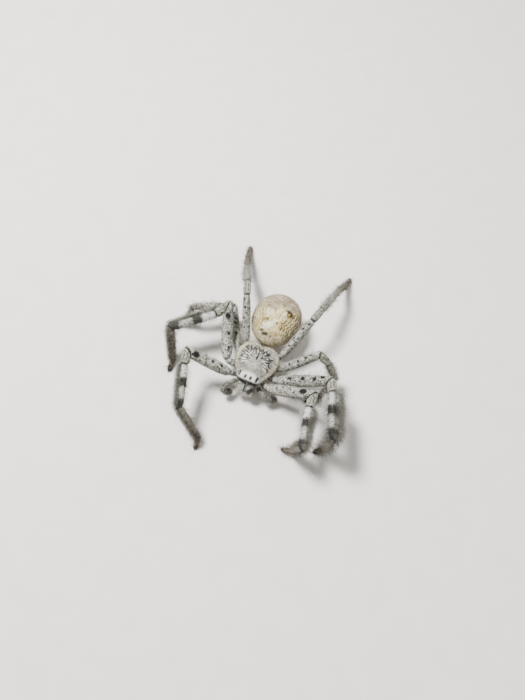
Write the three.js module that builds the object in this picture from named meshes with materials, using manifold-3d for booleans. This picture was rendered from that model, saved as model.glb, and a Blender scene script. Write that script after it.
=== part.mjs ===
// A huntsman spider, life size and still, standing on eight feet.
// Millimetres, +Z up. The head looks toward -Y and the spider's left side is +X.
// The origin is on the ground, below the middle of the space the spider takes up.
import * as THREE from 'three';
import { mergeVertices } from 'three/addons/utils/BufferGeometryUtils.js';
import Module from 'manifold-3d';

const wasm = await Module();
wasm.setup();

// Driving dimensions: head and chest
const carapaceLength = 11.2;
const carapaceWidth = 11.1;
const carapaceUnderside = 6.35;
const carapaceRim = 0.4;
const carapaceDome = 1.95;
const headRise = 0.45;
const faceHeight = 0.75;
const sternumUnderside = 3.7;
const sternumTop = 5.55;

// Driving dimensions: hind body
const abdomenLength = 15.0;
const abdomenWidth = 12.8;
const abdomenHeight = 9.2;
const abdomenCentre = { x: 0.2, y: 12.65, z: 7.1 };
const pedicelRadius = 0.75;
const pedicelPath = [[0, 3.65, 4.9], [0, 4.3, 5.0], [0, 5.05, 5.15]];
const spinneretBack = 6.93;
const spinneretDrop = 2.44;
const spinneretTilt = 42;
const spinneretLength = 1.1;
const spinneretRadius = 0.38;

// Driving dimensions: face
const cheliceraLength = 3.2;
// Rows of x, y, share of the length from the top, half width, half depth
const cheliceraRows = [
  [1.28, -5.75, 0, 1.0, 0.95], [1.29, -6.4, 0.3, 1.1, 1.3],
  [1.26, -7.0, 0.62, 1.05, 1.15], [1.18, -7.35, 1, 0.82, 0.72],
];
const fangRadius = 0.32;
// Rows of x, y, height below the root, share of the radius
const fangRows = [
  [1.3, -7.55, 0, 1], [1.25, -7.45, 0.45, 0.9], [0.85, -7.0, 0.7, 0.6], [0.4, -6.4, 0.6, 0.25],
];
const palpRadius = 0.58;
const palpSwell = [0.75, 0.9, 1.0, 0.95, 1.2, 1.15, 0.6];
const palpPaths = {
  right: [
    [-2.75, -5.2, 3.85], [-3.4, -6.2, 4.5], [-4.5, -7.9, 5.1], [-5.05, -8.9, 4.4],
    [-4.8, -9.0, 3.3], [-4.0, -8.6, 2.5], [-3.2, -8.2, 2.0],
  ],
  left: [
    [2.75, -5.2, 3.85], [3.5, -5.95, 4.3], [4.9, -6.75, 4.3], [5.8, -6.9, 3.7],
    [6.4, -6.6, 2.9], [7.1, -6.1, 2.4], [7.8, -5.7, 2.1],
  ],
};
const eyeSocketGap = 0.12;

// Driving dimensions: legs, by pair from front to back, along the leg
const legLengths = {
  1: { femur: 12.0, patella: 3.2, tibia: 10.2, metatarsus: 9.3, tarsus: 3.3 },
  2: { femur: 13.2, patella: 3.6, tibia: 11.6, metatarsus: 9.8, tarsus: 3.4 },
  3: { femur: 11.4, patella: 3.4, tibia: 7.4, metatarsus: 7.0, tarsus: 3.0 },
  4: { femur: 11.8, patella: 4.0, tibia: 10.0, metatarsus: 9.8, tarsus: 3.2 },
};
const legRadii = {
  1: { coxa: 0.94, femur: 1.5, patella: 1.22, tibia: 1.15, metatarsus: 0.84, tarsus: 0.66 },
  2: { coxa: 0.97, femur: 1.55, patella: 1.27, tibia: 1.2, metatarsus: 0.86, tarsus: 0.68 },
  3: { coxa: 0.87, femur: 1.2, patella: 1.08, tibia: 1.02, metatarsus: 0.76, tarsus: 0.6 },
  4: { coxa: 0.87, femur: 1.12, patella: 1.05, tibia: 1.0, metatarsus: 0.74, tarsus: 0.6 },
};
// Each hip starts beside the sternum and rises to its femur
const coxaStartX = 2.5;
const coxaStartY = { 1: -2.9, 2: -1.0, 3: 0.95, 4: 2.9 };
const coxaStartZ = 4.7;
const coxaRise = 30;
const footTipHeight = 0.4;
const footPress = 0.12;
const groundDepth = 4;

// Each touching pair of pieces keeps this gap
const gap = 0.3;

// Stance: where each femur starts, and how each segment points.
// Bearings are degrees from +X toward +Y, slopes are degrees above the level.
// The slope of the metatarsus is worked out, so that the foot stands on the ground.
const stance = {
  left_1: { hip: [5.5, -4.9, 5.7], bearing: [3, -86, -80, 151, 178], slope: [24, 0, 4, -40] },
  left_2: { hip: [6.8, -2.1, 5.8], bearing: [15, -66, -71, 180, -155], slope: [17, 21, 6, -40] },
  left_3: { hip: [6.4, 1.2, 5.8], bearing: [26, -4, 0, -112, -150], slope: [40, -40, -68, -10] },
  left_4: { hip: [5.1, 4.6, 5.7], bearing: [66, 76, 79, 83, 83], slope: [31, -2, -20, -30] },
  right_1: { hip: [-5.2, -4.9, 5.7], bearing: [-171, -79, -72, -28, -89], slope: [31, -5, -18, -40] },
  right_2: { hip: [-7.2, -1.7, 5.9], bearing: [113, -121, -140, -67, -87], slope: [26, -9, -6, -14] },
  right_3: { hip: [-6.1, 2.3, 5.6], bearing: [119, -150, -149, -138, -150], slope: [4, 17, 7, -29] },
  right_4: { hip: [-4.8, 4.7, 5.7], bearing: [113, 111, 114, 108, 104], slope: [36, -4, -33, -30] },
};

// Long bristles that stand out from the legs: how far along, and round the segment from its side
const bristleLength = 1.9;
const bristleRadius = 0.24;
const bristleTipRadius = 0.05;
const bristleSink = 0.45;
const bristleLean = 48;
const bristlePlaces = {
  femur: [[0.35, 60], [0.55, 125], [0.75, 60]],
  tibia: [[0.22, 150], [0.3, 20], [0.55, 165], [0.62, 5], [0.82, 150]],
  foot: [[0.18, 160], [0.24, 15], [0.42, 5]],
};

const point = (x, y, z) => new THREE.Vector3(x, y, z);
const radians = THREE.MathUtils.degToRad;

function pointing(bearing, slope) {
  const level = Math.cos(radians(slope));
  const turn = radians(bearing);
  return point(Math.cos(turn) * level, Math.sin(turn) * level, Math.sin(radians(slope)));
}

// A closed skin over a row of rings with equally many points, its ends closed by flat fans
function loft(rings) {
  const count = rings[0].length;
  const positions = [];
  const index = [];
  for (const p of rings.flat()) positions.push(p.x, p.y, p.z);
  for (let i = 0; i + 1 < rings.length; i += 1) {
    for (let j = 0; j < count; j += 1) {
      const next = (j + 1) % count;
      const a = i * count + j;
      const b = i * count + next;
      index.push(a, b, b + count, a, b + count, a + count);
    }
  }
  for (const end of [0, rings.length - 1]) {
    const middle = rings[end].reduce((sum, p) => sum.add(p), point(0, 0, 0)).divideScalar(count);
    const centre = positions.length / 3;
    positions.push(middle.x, middle.y, middle.z);
    for (let j = 0; j < count; j += 1) {
      const a = end * count + j;
      const b = end * count + (j + 1) % count;
      if (end === 0) index.push(centre, b, a);
      else index.push(centre, a, b);
    }
  }
  const geometry = new THREE.BufferGeometry();
  geometry.setAttribute('position', new THREE.Float32BufferAttribute(positions, 3));
  geometry.setIndex(index);
  return outward(geometry);
}

// Turns every face round where the skin encloses a negative volume
function outward(geometry) {
  const place = geometry.getAttribute('position');
  const index = geometry.getIndex().array;
  const corner = (k) => new THREE.Vector3().fromBufferAttribute(place, index[k]);
  let volume = 0;
  for (let k = 0; k < index.length; k += 3) {
    volume += corner(k).dot(corner(k + 1).cross(corner(k + 2)));
  }
  if (volume < 0) index.reverse();
  return geometry;
}

function solidOf(geometry) {
  const bare = geometry.clone();
  bare.deleteAttribute('normal');
  bare.deleteAttribute('uv');
  const merged = mergeVertices(bare, 1e-5);
  const vertProperties = new Float32Array(merged.getAttribute('position').array);
  const triVerts = new Uint32Array(merged.getIndex().array);
  return new wasm.Manifold(new wasm.Mesh({ numProp: 3, vertProperties, triVerts }));
}

// The largest closed body of a solid, as a geometry
function geometryOf(solid) {
  const bodies = solid.decompose();
  const largest = bodies.reduce((best, body) => (body.volume() > best.volume() ? body : best));
  const mesh = largest.getMesh();
  const geometry = new THREE.BufferGeometry();
  geometry.setAttribute('position', new THREE.Float32BufferAttribute(mesh.vertProperties, 3));
  geometry.setIndex([...mesh.triVerts]);
  return geometry;
}

const spider = new THREE.Group();

function add(name, geometry, color, roughness) {
  geometry.computeVertexNormals();
  const material = new THREE.MeshStandardMaterial({ color, roughness, metalness: 0 });
  const mesh = new THREE.Mesh(geometry, material);
  mesh.name = name;
  spider.add(mesh);
}

// A tube of oval rings through a smooth curve, with a half width and half height at each of its points
function limb(places, radii, sides, steps) {
  const curve = new THREE.CatmullRomCurve3(places.map((p) => point(...p)), false, 'centripetal');
  const widths = new THREE.SplineCurve(radii.map(([width, height]) => new THREE.Vector2(width, height)));
  const rings = [];
  for (let i = 0; i <= steps; i += 1) {
    const t = i / steps;
    const centre = curve.getPoint(t);
    const along = curve.getTangent(t);
    const side = point(0, 0, 1).cross(along).normalize();
    const up = along.clone().cross(side).normalize();
    const size = widths.getPoint(t);
    const ring = [];
    for (let j = 0; j < sides; j += 1) {
      const turn = (2 * Math.PI * j) / sides;
      const across = side.clone().multiplyScalar(size.x * Math.cos(turn));
      ring.push(centre.clone().add(across).addScaledVector(up, size.y * Math.sin(turn)));
    }
    rings.push(ring);
  }
  return loft(rings);
}

// Carapace: its outline from above, right half, from the middle of the face to the notch behind
const carapaceHalf = [
  [0, -0.545], [0.16, -0.54], [0.225, -0.525], [0.285, -0.465], [0.335, -0.38], [0.4, -0.25],
  [0.465, -0.11], [0.5, 0.055], [0.465, 0.245], [0.35, 0.385], [0.19, 0.45], [0.07, 0.428], [0, 0.4],
];
const carapaceMiddle = -0.04 * carapaceLength;
const outlineSteps = 36;

function carapaceOutline() {
  const half = carapaceHalf.map(([x, y]) => point(x * carapaceWidth, y * carapaceLength, 0));
  const mirrored = half.slice(1, -1).reverse().map((p) => point(-p.x, p.y, 0));
  const curve = new THREE.CatmullRomCurve3([...half, ...mirrored], true, 'centripetal');
  return curve.getSpacedPoints(outlineSteps).slice(0, outlineSteps);
}

// Height of the carapace over a place, where share is 0 in the middle and 1 at the rim
function carapaceHeight(x, y, share) {
  const dome = carapaceDome * (1 - share ** 2.6) ** 0.8;
  const front = Math.exp(-(((y + 5.9) / 1.3) ** 2)) * Math.exp(-((x / 3.3) ** 4));
  const head = Math.exp(-(((y + 3.9) / 1.9) ** 2)) * Math.exp(-((x / 2.5) ** 2));
  return carapaceUnderside + carapaceRim + dome + faceHeight * front + headRise * head * (1 - share ** 6);
}

function carapaceGeometry() {
  const outline = carapaceOutline();
  const scaled = (p, share) => [p.x * share, carapaceMiddle + (p.y - carapaceMiddle) * share];
  const flat = (share, z) => outline.map((p) => point(...scaled(p, share), z));
  const under = carapaceUnderside;
  const rings = [flat(0.3, under), flat(0.95, under), flat(1, under + 0.3 * carapaceRim)];
  for (const share of [1, 0.965, 0.9, 0.8, 0.66, 0.5, 0.32, 0.14]) {
    rings.push(outline.map((p) => {
      const [x, y] = scaled(p, share);
      return point(x, y, carapaceHeight(x, y, share));
    }));
  }
  return loft(rings);
}

// Eyes: four in a row behind, four in front on the face, seated where a ray meets the carapace
const eyePlaces = {
  eye_back_middle: { x: 0.68, y: -5.24, radius: 0.24, fromFront: false },
  eye_back_side: { x: 2.22, y: -4.86, radius: 0.26, fromFront: false },
  eye_front_middle: { x: 0.55, z: 7.15, radius: 0.26, fromFront: true },
  eye_front_side: { x: 1.6, z: 7.08, radius: 0.3, fromFront: true },
};

function seatOnCarapace(place, side, carapace) {
  const start = place.fromFront ? point(side * place.x, -20, place.z) : point(side * place.x, place.y, 20);
  const aim = place.fromFront ? point(0, 1, 0) : point(0, 0, -1);
  const hit = new THREE.Raycaster(start, aim).intersectObject(carapace)[0];
  return hit.point.addScaledVector(aim, 0.25 * place.radius);
}

function ball(centre, radius) {
  const geometry = new THREE.SphereGeometry(radius, 8, 6);
  geometry.translate(centre.x, centre.y, centre.z);
  return geometry;
}

function buildHead() {
  const shell = carapaceGeometry();
  const probe = new THREE.Mesh(shell);
  let solid = solidOf(shell);
  for (const [name, place] of Object.entries(eyePlaces)) {
    for (const [sideName, side] of [['left', 1], ['right', -1]]) {
      const seat = seatOnCarapace(place, side, probe);
      solid = solid.subtract(solidOf(ball(seat, place.radius + eyeSocketGap)));
      add(`${name}_${sideName}`, geometryOf(solidOf(ball(seat, place.radius))), '#14110f', 0.12);
    }
  }
  add('carapace', geometryOf(solid), '#c9c7b6', 0.75);
}

// Sternum, with the labium and the two maxillae as its front end: half its outline from below
const sternumHalf = [
  [0, -4.75], [1.5, -4.65], [1.75, -4.15], [1.6, -3.6], [2.0, -2.4],
  [2.15, 0], [1.85, 2.2], [1.1, 3.1], [0, 3.3],
];
const sternumMiddle = -0.6;
const sternumSteps = 28;

function buildSternum() {
  const mirrored = sternumHalf.slice(1, -1).reverse().map(([x, y]) => [-x, y]);
  const corners = [...sternumHalf, ...mirrored].map(([x, y]) => point(x, y, 0));
  const curve = new THREE.CatmullRomCurve3(corners, true, 'centripetal');
  const outline = curve.getSpacedPoints(sternumSteps).slice(0, sternumSteps);
  const place = (p, share) => [p.x * share, sternumMiddle + (p.y - sternumMiddle) * share];
  const level = (share, z) => outline.map((p) => point(...place(p, share), z));
  const heights = [[0.55, 0], [0.85, 0.15], [1, 0.5], [0.92, 1.0], [0.74, sternumTop - sternumUnderside]];
  add('sternum', loft(heights.map(([share, z]) => level(share, sternumUnderside + z))), '#8f8572', 0.7);
}

// Abdomen: oval rings along Y, a little fuller behind the middle and flatter below
function abdomenGeometry() {
  const rings = [];
  const steps = 16;
  const sides = 28;
  for (let i = 0; i <= steps; i += 1) {
    const turn = radians(6) + (radians(168) * i) / steps;
    const along = -Math.cos(turn);
    const spread = Math.sin(turn) ** 0.92 * (1 + 0.05 * along);
    const ring = [];
    for (let j = 0; j < sides; j += 1) {
      const round = (2 * Math.PI * j) / sides;
      const rise = Math.sin(round) * (Math.sin(round) < 0 ? 0.94 : 1.0);
      ring.push(point(
        abdomenCentre.x + 0.5 * abdomenWidth * spread * Math.cos(round),
        abdomenCentre.y + 0.5 * abdomenLength * along,
        abdomenCentre.z + 0.5 * abdomenHeight * spread * rise,
      ));
    }
    rings.push(ring);
  }
  return loft(rings);
}

function buildBody() {
  add('abdomen', abdomenGeometry(), '#d3c192', 0.7);
  const pedicelSize = [0.6, 1, 1].map((share) => [pedicelRadius, share * pedicelRadius]);
  add('pedicel', limb(pedicelPath, pedicelSize, 12, 4), '#b7a988', 0.7);

  // Two pairs of spinnerets grow from one low mound under the end of the abdomen
  const { x: midX, z: midZ } = abdomenCentre;
  const tilt = THREE.MathUtils.degToRad(spinneretTilt);
  const place = (across, up, out) => [
    midX + across,
    abdomenCentre.y + spinneretBack + up * Math.sin(tilt) + out * Math.cos(tilt),
    midZ - spinneretDrop + up * Math.cos(tilt) - out * Math.sin(tilt),
  ];
  const mound = [place(0, 0, 0), place(0, 0, 0.3), place(0, 0, 0.5)];
  let spinnerets = solidOf(limb(mound, [[1.0, 0.6], [0.95, 0.58], [0.75, 0.45]], 12, 3));
  for (const [x, z, share] of [[0.5, 0.2, 1], [-0.5, 0.2, 1], [0.42, -0.25, 0.8], [-0.42, -0.25, 0.8]]) {
    const start = place(x, z, 0.15);
    const end = place(1.25 * x, 1.2 * z, 0.15 + spinneretLength * share);
    const middle = start.map((value, i) => 0.5 * (value + end[i]));
    const sizes = [1, 0.85, 0.55].map((taper) => [taper * spinneretRadius, taper * spinneretRadius]);
    spinnerets = spinnerets.add(solidOf(limb([start, middle, end], sizes, 7, 2)));
  }
  add('spinnerets', geometryOf(spinnerets), '#8a7a62', 0.7);
}

function cheliceraGeometry(side, top) {
  const places = cheliceraRows.map(([x, y, share]) => point(side * x, y, top - share * cheliceraLength));
  const path = new THREE.CatmullRomCurve3(places);
  const sizes = new THREE.SplineCurve(cheliceraRows.map((row) => new THREE.Vector2(row[3], row[4])));
  const rings = [];
  const steps = 10;
  const sides = 16;
  for (let i = 0; i <= steps; i += 1) {
    const centre = path.getPoint(i / steps);
    const size = sizes.getPoint(i / steps);
    rings.push(Array.from({ length: sides }, (_, j) => {
      const turn = (2 * Math.PI * j) / sides;
      return point(centre.x + size.x * Math.cos(turn), centre.y + size.y * Math.sin(turn), centre.z);
    }));
  }
  return loft(rings);
}

function buildFace() {
  const top = carapaceUnderside - gap;
  const fangTop = top - cheliceraLength - gap;
  const fangSizes = fangRows.map((row) => [row[3] * fangRadius, row[3] * fangRadius]);
  const palpSizes = palpSwell.map((share) => [share * palpRadius, share * palpRadius]);
  for (const [sideName, side] of [['left', 1], ['right', -1]]) {
    const fangPath = fangRows.map(([x, y, drop]) => [side * x, y, fangTop - drop]);
    add(`chelicera_${sideName}`, cheliceraGeometry(side, top), '#b9c0b0', 0.35);
    add(`fang_${sideName}`, limb(fangPath, fangSizes, 10, 8), '#2a1712', 0.2);
    add(`palp_${sideName}`, limb(palpPaths[sideName], palpSizes, 10, 20), '#a89f8c', 0.75);
  }
}

// The six joints of a leg, from the hip to the tip of the foot at a given height
function legJoints(leg, lengths, tipHeight) {
  const [femur, patella, tibia, tarsus] = leg.slope;
  const hip = point(...leg.hip);
  const knee = hip.clone().addScaledVector(pointing(leg.bearing[0], femur), lengths.femur);
  const shin = knee.clone().addScaledVector(pointing(leg.bearing[1], patella), lengths.patella);
  const ankle = shin.clone().addScaledVector(pointing(leg.bearing[2], tibia), lengths.tibia);
  const toe = pointing(leg.bearing[4], tarsus).multiplyScalar(lengths.tarsus);
  const drop = ankle.z + toe.z - tipHeight;
  const metatarsus = -THREE.MathUtils.radToDeg(Math.asin(drop / lengths.metatarsus));
  const foot = ankle.clone().addScaledVector(pointing(leg.bearing[3], metatarsus), lengths.metatarsus);
  return [hip, knee, shin, ankle, foot, foot.clone().add(toe)];
}

// The plane that halves a bend faces along this direction
const halving = (before, after) => before.clone().add(after).normalize();

// A straight oval piece of a leg. Each face is a plane through a joint, and the shape follows
// stations of [share of the way, half width, half height].
function segment({ start, end, startPlane, endPlane, startGap, endGap, stations, side, sides = 10 }) {
  const length = start.distanceTo(end);
  const along = end.clone().sub(start).normalize();
  const up = along.clone().cross(side).normalize();
  const place = (share, turn, swell = 1) => {
    let i = 0;
    while (i + 2 < stations.length && stations[i + 1][0] < share) i += 1;
    const [from, to] = [stations[i][0], stations[i + 1][0]];
    const part = THREE.MathUtils.clamp((share - from) / (to - from), 0, 1);
    const width = swell * THREE.MathUtils.lerp(stations[i][1], stations[i + 1][1], part);
    const height = swell * THREE.MathUtils.lerp(stations[i][2], stations[i + 1][2], part);
    const offset = side.clone().multiplyScalar(width * Math.cos(turn));
    offset.addScaledVector(up, height * Math.sin(turn));
    const reach = 1.3 * Math.max(width, height);
    const first = Math.max((startGap / 2 - offset.dot(startPlane)) / along.dot(startPlane), -reach);
    const last = Math.min((-endGap / 2 - offset.dot(endPlane)) / along.dot(endPlane), reach) + length;
    return start.clone().add(offset).addScaledVector(along, THREE.MathUtils.lerp(first, last, share));
  };
  const ring = (share) => Array.from({ length: sides }, (_, j) => place(share, (2 * Math.PI * j) / sides));
  return { rings: stations.map(([share]) => ring(share)), place, along, side, up };
}

// A tapered bristle that leaves a segment at a place on its surface and leans toward the foot
function bristle(piece, share, degrees) {
  const turn = radians(degrees);
  const root = piece.place(share, turn);
  const out = piece.side.clone().multiplyScalar(Math.cos(turn));
  out.addScaledVector(piece.up, Math.sin(turn)).normalize();
  const aim = out.clone().multiplyScalar(Math.cos(radians(bristleLean)));
  aim.addScaledVector(piece.along, Math.sin(radians(bristleLean))).normalize();
  const start = root.clone().addScaledVector(out, -bristleSink);
  const tip = root.clone().addScaledVector(aim, bristleLength);
  const along = tip.clone().sub(start).normalize();
  const across = along.clone().cross(piece.along).normalize();
  const other = along.clone().cross(across);
  const ring = (centre, radius) => [0, 1, 2, 3].map((k) => centre.clone()
    .addScaledVector(across, radius * Math.cos((k * Math.PI) / 2))
    .addScaledVector(other, radius * Math.sin((k * Math.PI) / 2)));
  return solidOf(loft([ring(start, bristleRadius), ring(tip, bristleTipRadius)]));
}

const withBristles = (piece, places) => places.reduce(
  (solid, [share, degrees]) => solid.add(bristle(piece, share, degrees)),
  solidOf(loft(piece.rings)),
);

const levelSide = (along) => point(0, 0, 1).cross(along).normalize();

// Shape of each segment: share of the way, and share of its radius across and in height
const shapes = {
  femur: [
    [0, 0.66, 0.68], [0.05, 0.78, 0.8], [0.2, 0.95, 0.97], [0.45, 1.0, 1.03],
    [0.7, 0.95, 0.98], [0.94, 0.84, 0.86], [1, 0.76, 0.78],
  ],
  patella: [[0, 0.84, 0.84], [0.14, 0.95, 0.97], [0.5, 1.0, 1.02], [0.86, 0.94, 0.95], [1, 0.84, 0.85]],
  tibia: [
    [0, 0.82, 0.82], [0.06, 0.93, 0.93], [0.3, 1.0, 1.0],
    [0.65, 0.94, 0.94], [0.94, 0.84, 0.84], [1, 0.76, 0.76],
  ],
  metatarsus: [[0, 0.92, 0.92], [0.07, 1.04, 1.04], [0.4, 1.0, 1.0], [1, 0.86, 0.86]],
  tarsus: [[0.12, 1.06, 1.06], [0.5, 1.04, 1.04], [0.85, 0.95, 0.95], [1, 0.6, 0.6]],
};

const sized = (shape, radius) => shape.map(
  ([share, across, high]) => [share, across * radius, high * radius],
);

const aimsOf = (joints) => joints.slice(1).map((p, i) => p.clone().sub(joints[i]).normalize());

// Metatarsus and tarsus are one piece, bent where they meet
function footPieces(joints, radii) {
  const aims = aimsOf(joints);
  const bendPlane = halving(aims[3], aims[4]);
  const metatarsus = segment({
    start: joints[3], end: joints[4], startPlane: halving(aims[2], aims[3]), endPlane: bendPlane,
    startGap: gap, endGap: 0,
    stations: sized(shapes.metatarsus, radii.metatarsus), side: levelSide(aims[3]),
  });
  const bend = new THREE.Quaternion().setFromUnitVectors(aims[3], aims[4]);
  const tarsus = segment({
    start: joints[4], end: joints[5], startPlane: bendPlane, endPlane: aims[4], startGap: 0, endGap: 0,
    stations: sized(shapes.tarsus, radii.tarsus), side: metatarsus.side.clone().applyQuaternion(bend),
  });
  return { metatarsus, tarsus };
}

// Lets the leg down until its foot pad is pressed a little flat by the ground
function standingJoints(leg, lengths, radii) {
  const trial = footPieces(legJoints(leg, lengths, footTipHeight), radii);
  const lowest = Math.min(...trial.tarsus.rings.flat().map((p) => p.z));
  return legJoints(leg, lengths, footTipHeight - lowest - footPress);
}

// The hip piece curves from beside the sternum to the femur, and ends on the plane between them
function coxaPiece(pair, joint, femurAim, radius) {
  const inner = point(coxaStartX * Math.sign(joint.x), coxaStartY[pair], coxaStartZ);
  const outwardAim = joint.clone().sub(inner).setZ(0).normalize();
  const turned = outwardAim.clone().add(femurAim.clone().setZ(0).normalize()).normalize();
  const rise = radians(coxaRise);
  const arrival = turned.multiplyScalar(Math.cos(rise)).setZ(Math.sin(rise));
  const reach = inner.distanceTo(joint);
  const path = new THREE.CubicBezierCurve3(
    inner, inner.clone().addScaledVector(outwardAim, 0.35 * reach),
    joint.clone().addScaledVector(arrival, -0.4 * reach), joint,
  );
  const plane = halving(arrival, femurAim);
  const steps = 6;
  const sides = 12;
  const rings = [];
  for (let i = 0; i <= steps; i += 1) {
    const atEnd = i === steps;
    const centre = path.getPoint(i / steps);
    const along = path.getTangent(i / steps);
    const side = levelSide(along);
    const up = along.clone().cross(side);
    const grown = THREE.MathUtils.lerp(0.78, 1.0, Math.min(1, (1.6 * i) / steps));
    const across = radius * grown * (atEnd ? 0.9 : 1);
    const high = radius * (atEnd ? 0.9 : 0.93);
    rings.push(Array.from({ length: sides }, (_, j) => {
      const turn = (2 * Math.PI * j) / sides;
      const offset = side.clone().multiplyScalar(across * Math.cos(turn));
      offset.addScaledVector(up, high * Math.sin(turn));
      const last = (-gap / 2 - offset.dot(plane)) / along.dot(plane);
      return centre.clone().add(offset).addScaledVector(along, atEnd ? last : 0);
    }));
  }
  return { rings, plane };
}

function buildLeg(name, leg) {
  const pair = Number(name.slice(-1));
  const radii = legRadii[pair];
  const joints = standingJoints(leg, legLengths[pair], radii);
  const aims = aimsOf(joints);
  const coxa = coxaPiece(pair, joints[0], aims[0], radii.coxa);
  add(`${name}_coxa`, loft(coxa.rings), '#bdb8a6', 0.75);

  const kneePlane = halving(aims[0], aims[1]);
  const shinPlane = halving(aims[1], aims[2]);
  const anklePlane = halving(aims[2], aims[3]);
  const both = { startGap: gap, endGap: gap };

  const femur = segment({
    start: joints[0], end: joints[1], startPlane: coxa.plane, endPlane: kneePlane, ...both,
    stations: sized(shapes.femur, radii.femur), side: levelSide(aims[0]),
  });
  add(`${name}_femur`, geometryOf(withBristles(femur, bristlePlaces.femur)), '#cfcdc0', 0.8);

  const patella = segment({
    start: joints[1], end: joints[2], startPlane: kneePlane, endPlane: shinPlane, ...both,
    stations: sized(shapes.patella, radii.patella), side: levelSide(aims[1]),
  });
  add(`${name}_patella`, loft(patella.rings), '#c6c6b2', 0.8);

  const tibia = segment({
    start: joints[2], end: joints[3], startPlane: shinPlane, endPlane: anklePlane, ...both,
    stations: sized(shapes.tibia, radii.tibia), side: levelSide(aims[2]),
  });
  add(`${name}_tibia`, geometryOf(withBristles(tibia, bristlePlaces.tibia)), '#bcb7a8', 0.8);

  // The foot is cut flat where it stands
  const { metatarsus, tarsus } = footPieces(joints, radii);
  let foot = solidOf(loft([...metatarsus.rings, ...tarsus.rings]));
  for (const [share, degrees] of bristlePlaces.foot) foot = foot.add(bristle(metatarsus, share, degrees));
  const ground = new THREE.BoxGeometry(8, 8, groundDepth);
  ground.translate(joints[5].x, joints[5].y, -0.5 * groundDepth);
  add(`${name}_foot`, geometryOf(foot.subtract(solidOf(ground))), '#7c6b5a', 0.85);
}

buildHead();
buildSternum();
buildBody();
buildFace();
for (const [name, leg] of Object.entries(stance)) buildLeg(`leg_${name}`, leg);

// Moves the origin below the middle of the spider
const middle = new THREE.Box3().setFromObject(spider).getCenter(point(0, 0, 0));
spider.position.set(-middle.x, -middle.y, 0);
spider.updateMatrixWorld(true);

export default spider;
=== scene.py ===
# %% [markdown]
# # A huntsman spider, life size
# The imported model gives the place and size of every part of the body, in metres, with +Z up and
# the head toward -Y. Its solids are plain and faceted, so this script builds smooth skins, short
# velvety hair, spines and eyes that take their places, and then the finish of each surface.

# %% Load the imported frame
import math

import bmesh
import bpy
import numpy as np
from mathutils import Matrix, Vector


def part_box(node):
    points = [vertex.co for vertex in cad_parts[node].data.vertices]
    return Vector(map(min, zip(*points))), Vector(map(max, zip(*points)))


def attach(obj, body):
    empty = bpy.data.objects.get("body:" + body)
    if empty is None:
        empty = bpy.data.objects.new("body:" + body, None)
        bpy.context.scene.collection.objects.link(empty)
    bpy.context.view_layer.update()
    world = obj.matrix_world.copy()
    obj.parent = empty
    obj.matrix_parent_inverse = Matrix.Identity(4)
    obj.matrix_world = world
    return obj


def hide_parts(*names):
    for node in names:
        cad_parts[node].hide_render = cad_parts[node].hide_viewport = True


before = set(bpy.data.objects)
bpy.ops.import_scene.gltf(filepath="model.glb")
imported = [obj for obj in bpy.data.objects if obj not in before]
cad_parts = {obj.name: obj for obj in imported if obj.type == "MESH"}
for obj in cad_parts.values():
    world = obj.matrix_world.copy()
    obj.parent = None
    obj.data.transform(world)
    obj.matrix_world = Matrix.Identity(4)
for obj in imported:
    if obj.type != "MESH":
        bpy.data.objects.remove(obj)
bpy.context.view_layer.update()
print("nodes in the frame:", len(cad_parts))

# %% [markdown]
# ## Millimetres and the origin
# A spider is easiest to think about in millimetres, measured from the middle of its head and
# chest. The frame is in metres and its origin lies below the middle of the whole animal. The
# abdomen's box tells how far apart the two origins are, so nothing has to be typed in twice.

# %% From the spider's own millimetres to the frame
MM = 0.001
ABDOMEN_CENTRE = (0.2, 12.65, 7.1)
abdomen_low, abdomen_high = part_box("abdomen")
ORIGIN = np.array([
    0.5 * (abdomen_low.x + abdomen_high.x) - ABDOMEN_CENTRE[0] * MM,
    0.5 * (abdomen_low.y + abdomen_high.y) - ABDOMEN_CENTRE[1] * MM,
    0.0,
])


def unit(vectors):
    vectors = np.asarray(vectors, float)
    return vectors / np.maximum(np.linalg.norm(vectors, axis=-1, keepdims=True), 1e-12)


def in_frame(points):
    return np.asarray(points, float) * MM + ORIGIN


print("the spider's own origin lies at", np.round(ORIGIN / MM, 2), "mm")

# %% [markdown]
# ## Camera
# The picture looks down on the spider from its front left, about 64 degrees above the ground.
# The lens follows from the angle that the picture covers. Placing the camera by azimuth,
# elevation and roll, rather than by typing a matrix, keeps the view easy to read and to correct.

# %% Camera
VIEW_AZIMUTH = 18.0
VIEW_ELEVATION = 64.0
VIEW_ROLL = 5.37
VIEW_DISTANCE = 150.0
VIEW_SLIDE = (1.59, 3.23)
VIEW_HEIGHT = 6.0
LENS = 30.857


def camera_axes(azimuth, elevation, roll):
    a, e, r = (math.radians(value) for value in (azimuth, elevation, roll))
    back = np.array([math.sin(a) * math.cos(e), -math.cos(a) * math.cos(e), math.sin(e)])
    level = np.array([math.cos(a), math.sin(a), 0.0])
    upright = np.cross(back, level)
    right = math.cos(r) * level + math.sin(r) * upright
    up = -math.sin(r) * level + math.cos(r) * upright
    return right, up, back


view_right, view_up, view_back = camera_axes(VIEW_AZIMUTH, VIEW_ELEVATION, VIEW_ROLL)
eye_point = (
    view_back * VIEW_DISTANCE + view_right * VIEW_SLIDE[0] + view_up * VIEW_SLIDE[1]
    + np.array([0.0, 0.0, VIEW_HEIGHT])
)
camera_data = bpy.data.cameras.new("camera")
camera_data.lens = LENS
camera_data.sensor_width = 36.0
camera_data.clip_start = 0.005
camera = bpy.data.objects.new("camera", camera_data)
bpy.context.scene.collection.objects.link(camera)
turn = Matrix([view_right, view_up, view_back]).transposed().to_4x4()
camera.matrix_world = Matrix.Translation(Vector(in_frame(eye_point))) @ turn
bpy.context.scene.camera = camera
print("camera at", np.round(np.array(camera.location) / MM, 1), "mm")

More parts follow.
